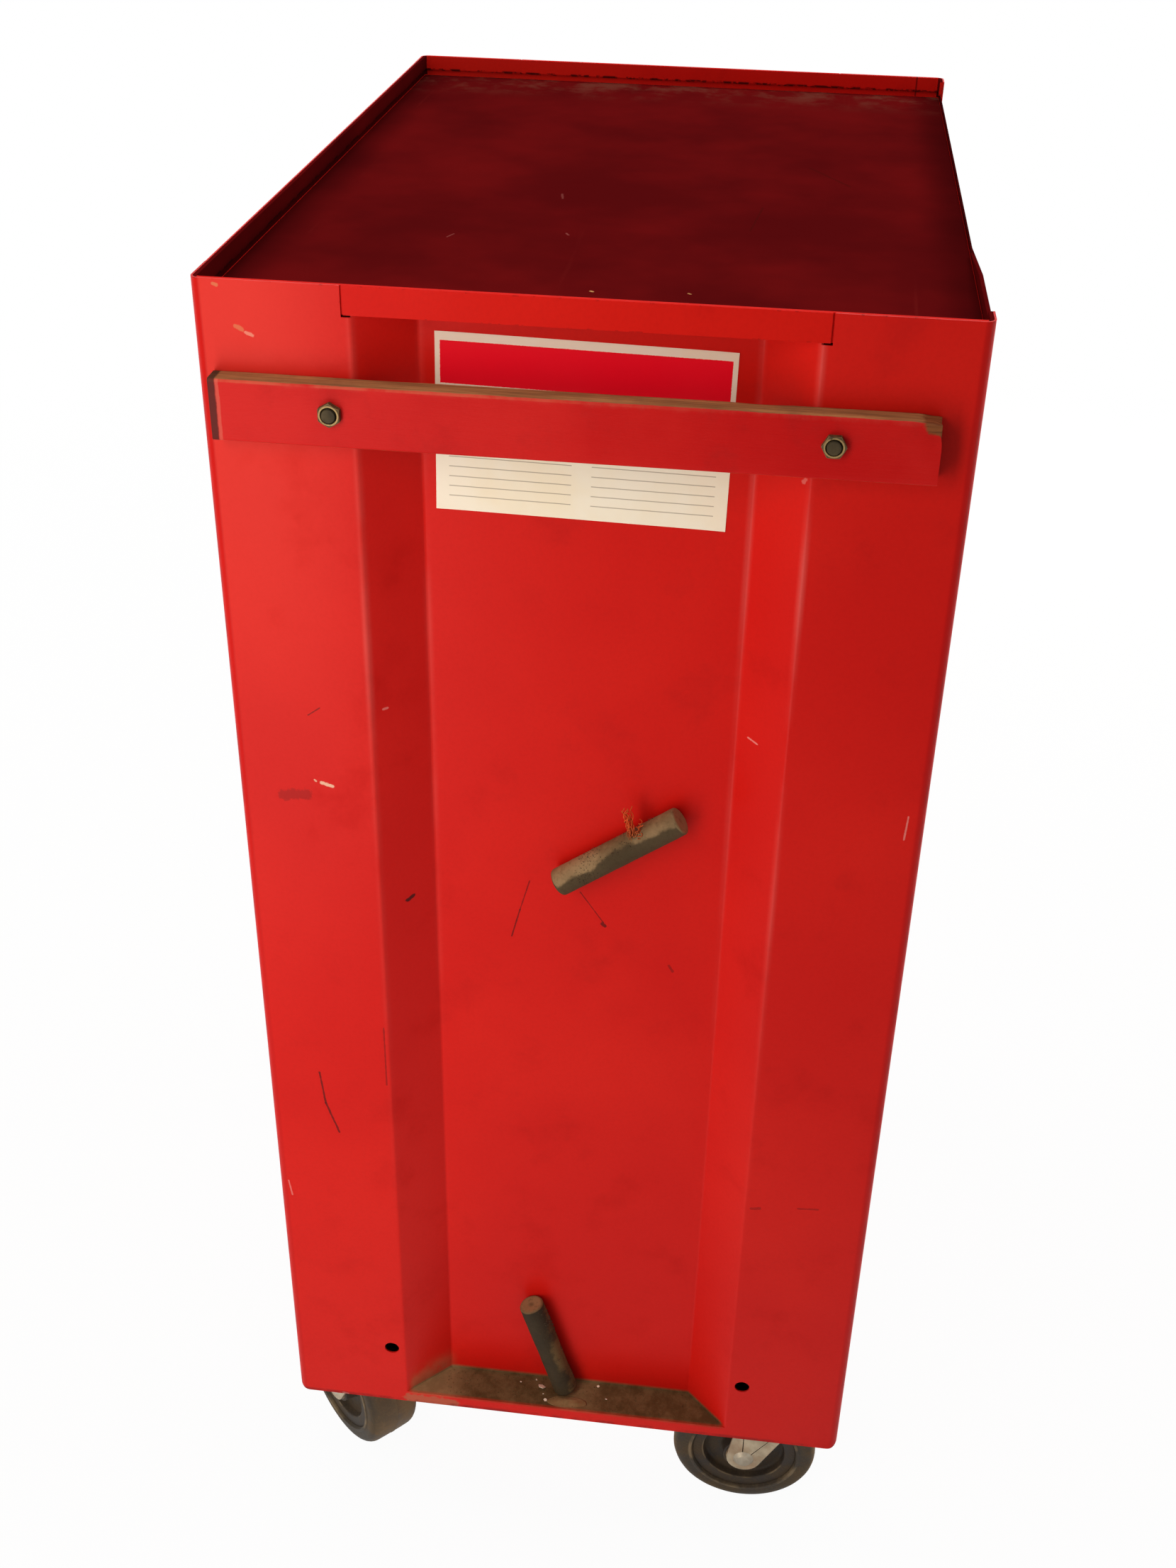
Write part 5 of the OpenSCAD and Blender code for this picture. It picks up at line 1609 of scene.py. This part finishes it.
@dataclass
class LedgeDebris:
    """Crumbs, a small heap and pale flakes on the ledge at the foot of the recess."""

    layout: Layout
    pieces: Pieces
    reach_y: float = 104 * MM
    heap_y: float = 1 * MM
    heap_out: float = 23 * MM
    heap_r: float = 17 * MM
    heap_h: float = 1.8 * MM
    heap_rings: int = 14
    heap_sides: int = 48
    flake_sides: int = 5

    def build(self) -> None:
        """Makes heap, crumbs and flakes."""
        crumb = Metal("ledge_crumbs", srgb(116, 92, 58), srgb(76, 58, 34), srgb(56, 42, 25),
                      roughness=0.85, metallic=0.0, grime_share=0.6, shine=0.1).material()
        dust = Metal("pale_dust", srgb(158, 126, 86), srgb(128, 98, 62), srgb(104, 78, 48),
                     roughness=0.9, metallic=0.0, grime_share=0.6, shine=0.1).material()
        self._crumbs(crumb)
        self._heap(dust)
        self._flakes()

    def _crumbs(self, finish: bpy.types.Material) -> None:
        """Scatters crumbs over the ledge."""
        near, far = self.layout.recess_x + 1 * MM, self.layout.half_w - 3 * MM
        level = self.layout.ledge_z + 0.1 * MM
        y = self.reach_y
        corners = [(near, -y, level), (far, -y, level), (far, y, level), (near, y, level)]
        base = plain_mesh("ledge_area", corners, (), [(0, 1, 2, 3)])
        grower = Grower("ledge_crumbs", {"Size": 0.55 * MM, "Density": 60000.0})
        scatter = grower.node("GeometryNodeDistributePointsOnFaces", None, {
            "Mesh": grower.inputs["Geometry"], "Density": grower.inputs["Density"], "Seed": 7}, "Points")
        grain = grower.node("GeometryNodeMeshIcoSphere", None,
                            {"Radius": grower.inputs["Size"], "Subdivisions": 1})
        turn = grower.node("FunctionNodeRandomValue", {"data_type": "FLOAT_VECTOR"},
                           {0: (0.0, 0.0, 0.0), 1: (6.2, 6.2, 6.2), "Seed": 17})
        size = grower.node("FunctionNodeRandomValue", {"data_type": "FLOAT_VECTOR"},
                           {0: (0.25, 0.25, 0.2), 1: (1.4, 1.1, 0.8), "Seed": 29})
        strewn = grower.stand(scatter, grain, Rotation=turn, Scale=size)
        self.pieces.add("ledge_crumbs", grower.grow(strewn, base, finish), finish, "cabinet")

    def _heap(self, finish: bpy.types.Material) -> None:
        """Low heap of dust in front of the lower magnet's foot."""
        centre = Vector((self.layout.recess_x + self.heap_out, self.heap_y, self.layout.ledge_z))
        work = bmesh.new()
        loops = [[work.verts.new(centre + Vector((0, 0, self.heap_h)))]]
        for i in range(1, self.heap_rings + 1):
            share = i / self.heap_rings
            loop = []
            for k in range(self.heap_sides):
                angle = 2 * math.pi * k / self.heap_sides
                cos, sin = math.cos(angle), math.sin(angle)
                reach = self.heap_r * share * (1 + 0.25 * noise.noise(Vector((cos, sin, 5.0))))
                spot = centre + Vector((reach * 0.34 * cos, reach * sin, 0))
                rise = self.heap_h * (0.5 + 0.5 * math.cos(math.pi * share))
                spot.z += max(0.0, rise * (1 + 0.5 * noise.noise(spot * 240.0)))
                loop.append(work.verts.new(spot))
            loops.append(loop)
        bridge(work, loops)
        work.faces.new(list(reversed(loops[-1])))
        self.pieces.add("ledge_dust_heap", mesh_from("ledge_dust_heap", work, math.pi), finish, "cabinet")

    def _flakes(self) -> None:
        """A few pale flakes of paint, each bent a little."""
        paint = Metal("pale_flakes", srgb(255, 248, 228), srgb(240, 220, 188), srgb(190, 158, 120),
                      roughness=0.7, metallic=0.0, grime_share=0.3, shine=0.1).material()
        work = bmesh.new()
        draw = random.Random(19)
        places = [(317.4, -22.4, 7.0), (330.2, -17.4, 4.2), (310.0, 25.4, 3.2), (322.2, 33.5, 2.0),
                  (314.0, -40.7, 1.8), (310.2, -27.8, 2.0), (324.0, -20.0, 1.5)]
        for x, y, size in places:
            turn = Matrix.Rotation(draw.uniform(0, 6.2), 4, "Z")
            lean = Matrix.Rotation(draw.uniform(0.1, 0.4), 4, "X")
            lift = self.layout.ledge_z + (0.4 + 0.22 * size) * MM
            place = Matrix.Translation((x * MM, y * MM, lift)) @ turn @ lean
            angles = [2 * math.pi * k / self.flake_sides for k in range(self.flake_sides)]
            outline = [Vector((math.cos(a), math.sin(a) * 0.8, 0)) * size / 2 * draw.uniform(0.75, 1.1) * MM
                       for a in angles]
            top = [work.verts.new(place @ (p + Vector((0, 0, 0.35 * MM)))) for p in outline]
            under = [work.verts.new(place @ p) for p in outline]
            work.faces.new(top)
            work.faces.new(list(reversed(under)))
            bridge(work, [under, top])
        self.pieces.add("ledge_flakes", mesh_from("ledge_flakes", work, math.radians(20)), paint, "cabinet")


@dataclass
class Fittings:
    """Packed metal pieces of slides, drawers, lock and casters, each with its finish."""

    body: SheetBody
    soft_edge: float = 0.5 * MM

    def dress(self) -> None:
        """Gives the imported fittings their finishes."""
        zinc = Metal("dull_zinc", srgb(186, 176, 156), srgb(158, 148, 130), srgb(112, 94, 72),
                     roughness=0.42, grime_share=0.35)
        dark = Metal("dark_bolt", srgb(96, 84, 66), srgb(52, 44, 34), srgb(40, 30, 22), roughness=0.5)
        fork = Metal("fork_zinc", srgb(190, 174, 146), srgb(156, 140, 114), srgb(150, 108, 72),
                     roughness=0.48, metallic=0.5, grime_share=0.4)
        pull = Metal("pull_aluminium", srgb(196, 196, 194), srgb(166, 166, 164), srgb(126, 120, 110),
                     roughness=0.36, metallic=0.95, grime_share=0.16, brushed=(0.25, 12.0, 12.0))
        chrome = Metal("lock_chrome", srgb(204, 204, 204), srgb(170, 170, 170), srgb(128, 120, 110),
                       roughness=0.2, metallic=1.0, grime_share=0.2)
        drawers = range(1, DRAWERS + 1)
        wearers = {
            zinc: ["slide_rails", "lock_bar", "lock_guides", "caster_doublers", "caster_plates",
                   "swivel_kingpins", "rigid_axles", "front_swivel_axle", "back_swivel_axle",
                   *(f"drawer_{i}_runners" for i in drawers)],
            dark: ["caster_bolts"],
            fork: ["rigid_forks", "front_swivel_fork", "back_swivel_fork"],
            BOLT_END: ["push_rail_bolts"],
            chrome: ["lock_barrel", "lock_rod"],
            pull: [f"drawer_{i}_pull" for i in drawers],
        }
        for finish, names in wearers.items():
            material = finish.material()
            for name in names:
                self.body.coat(name, material, self.soft_edge)


def main() -> None:
    """Builds the scene piece by piece."""
    logging.basicConfig(level=logging.INFO, format="%(message)s")
    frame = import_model()
    layout = Layout.from_frame()
    pieces = Pieces()
    Studio().build()
    body = SheetBody(frame, layout)
    body.dress()
    Fittings(body).dress()
    SpotWelds(layout, pieces).build()
    EndCard(layout, pieces).build()
    PushRail(pieces).build()
    Wheels(frame, pieces).build()
    Magnets(frame, pieces).build()
    LedgeDebris(layout, pieces).build()
    LOG.info("%d new pieces", len(pieces.made))


if __name__ == "__main__":
    main()
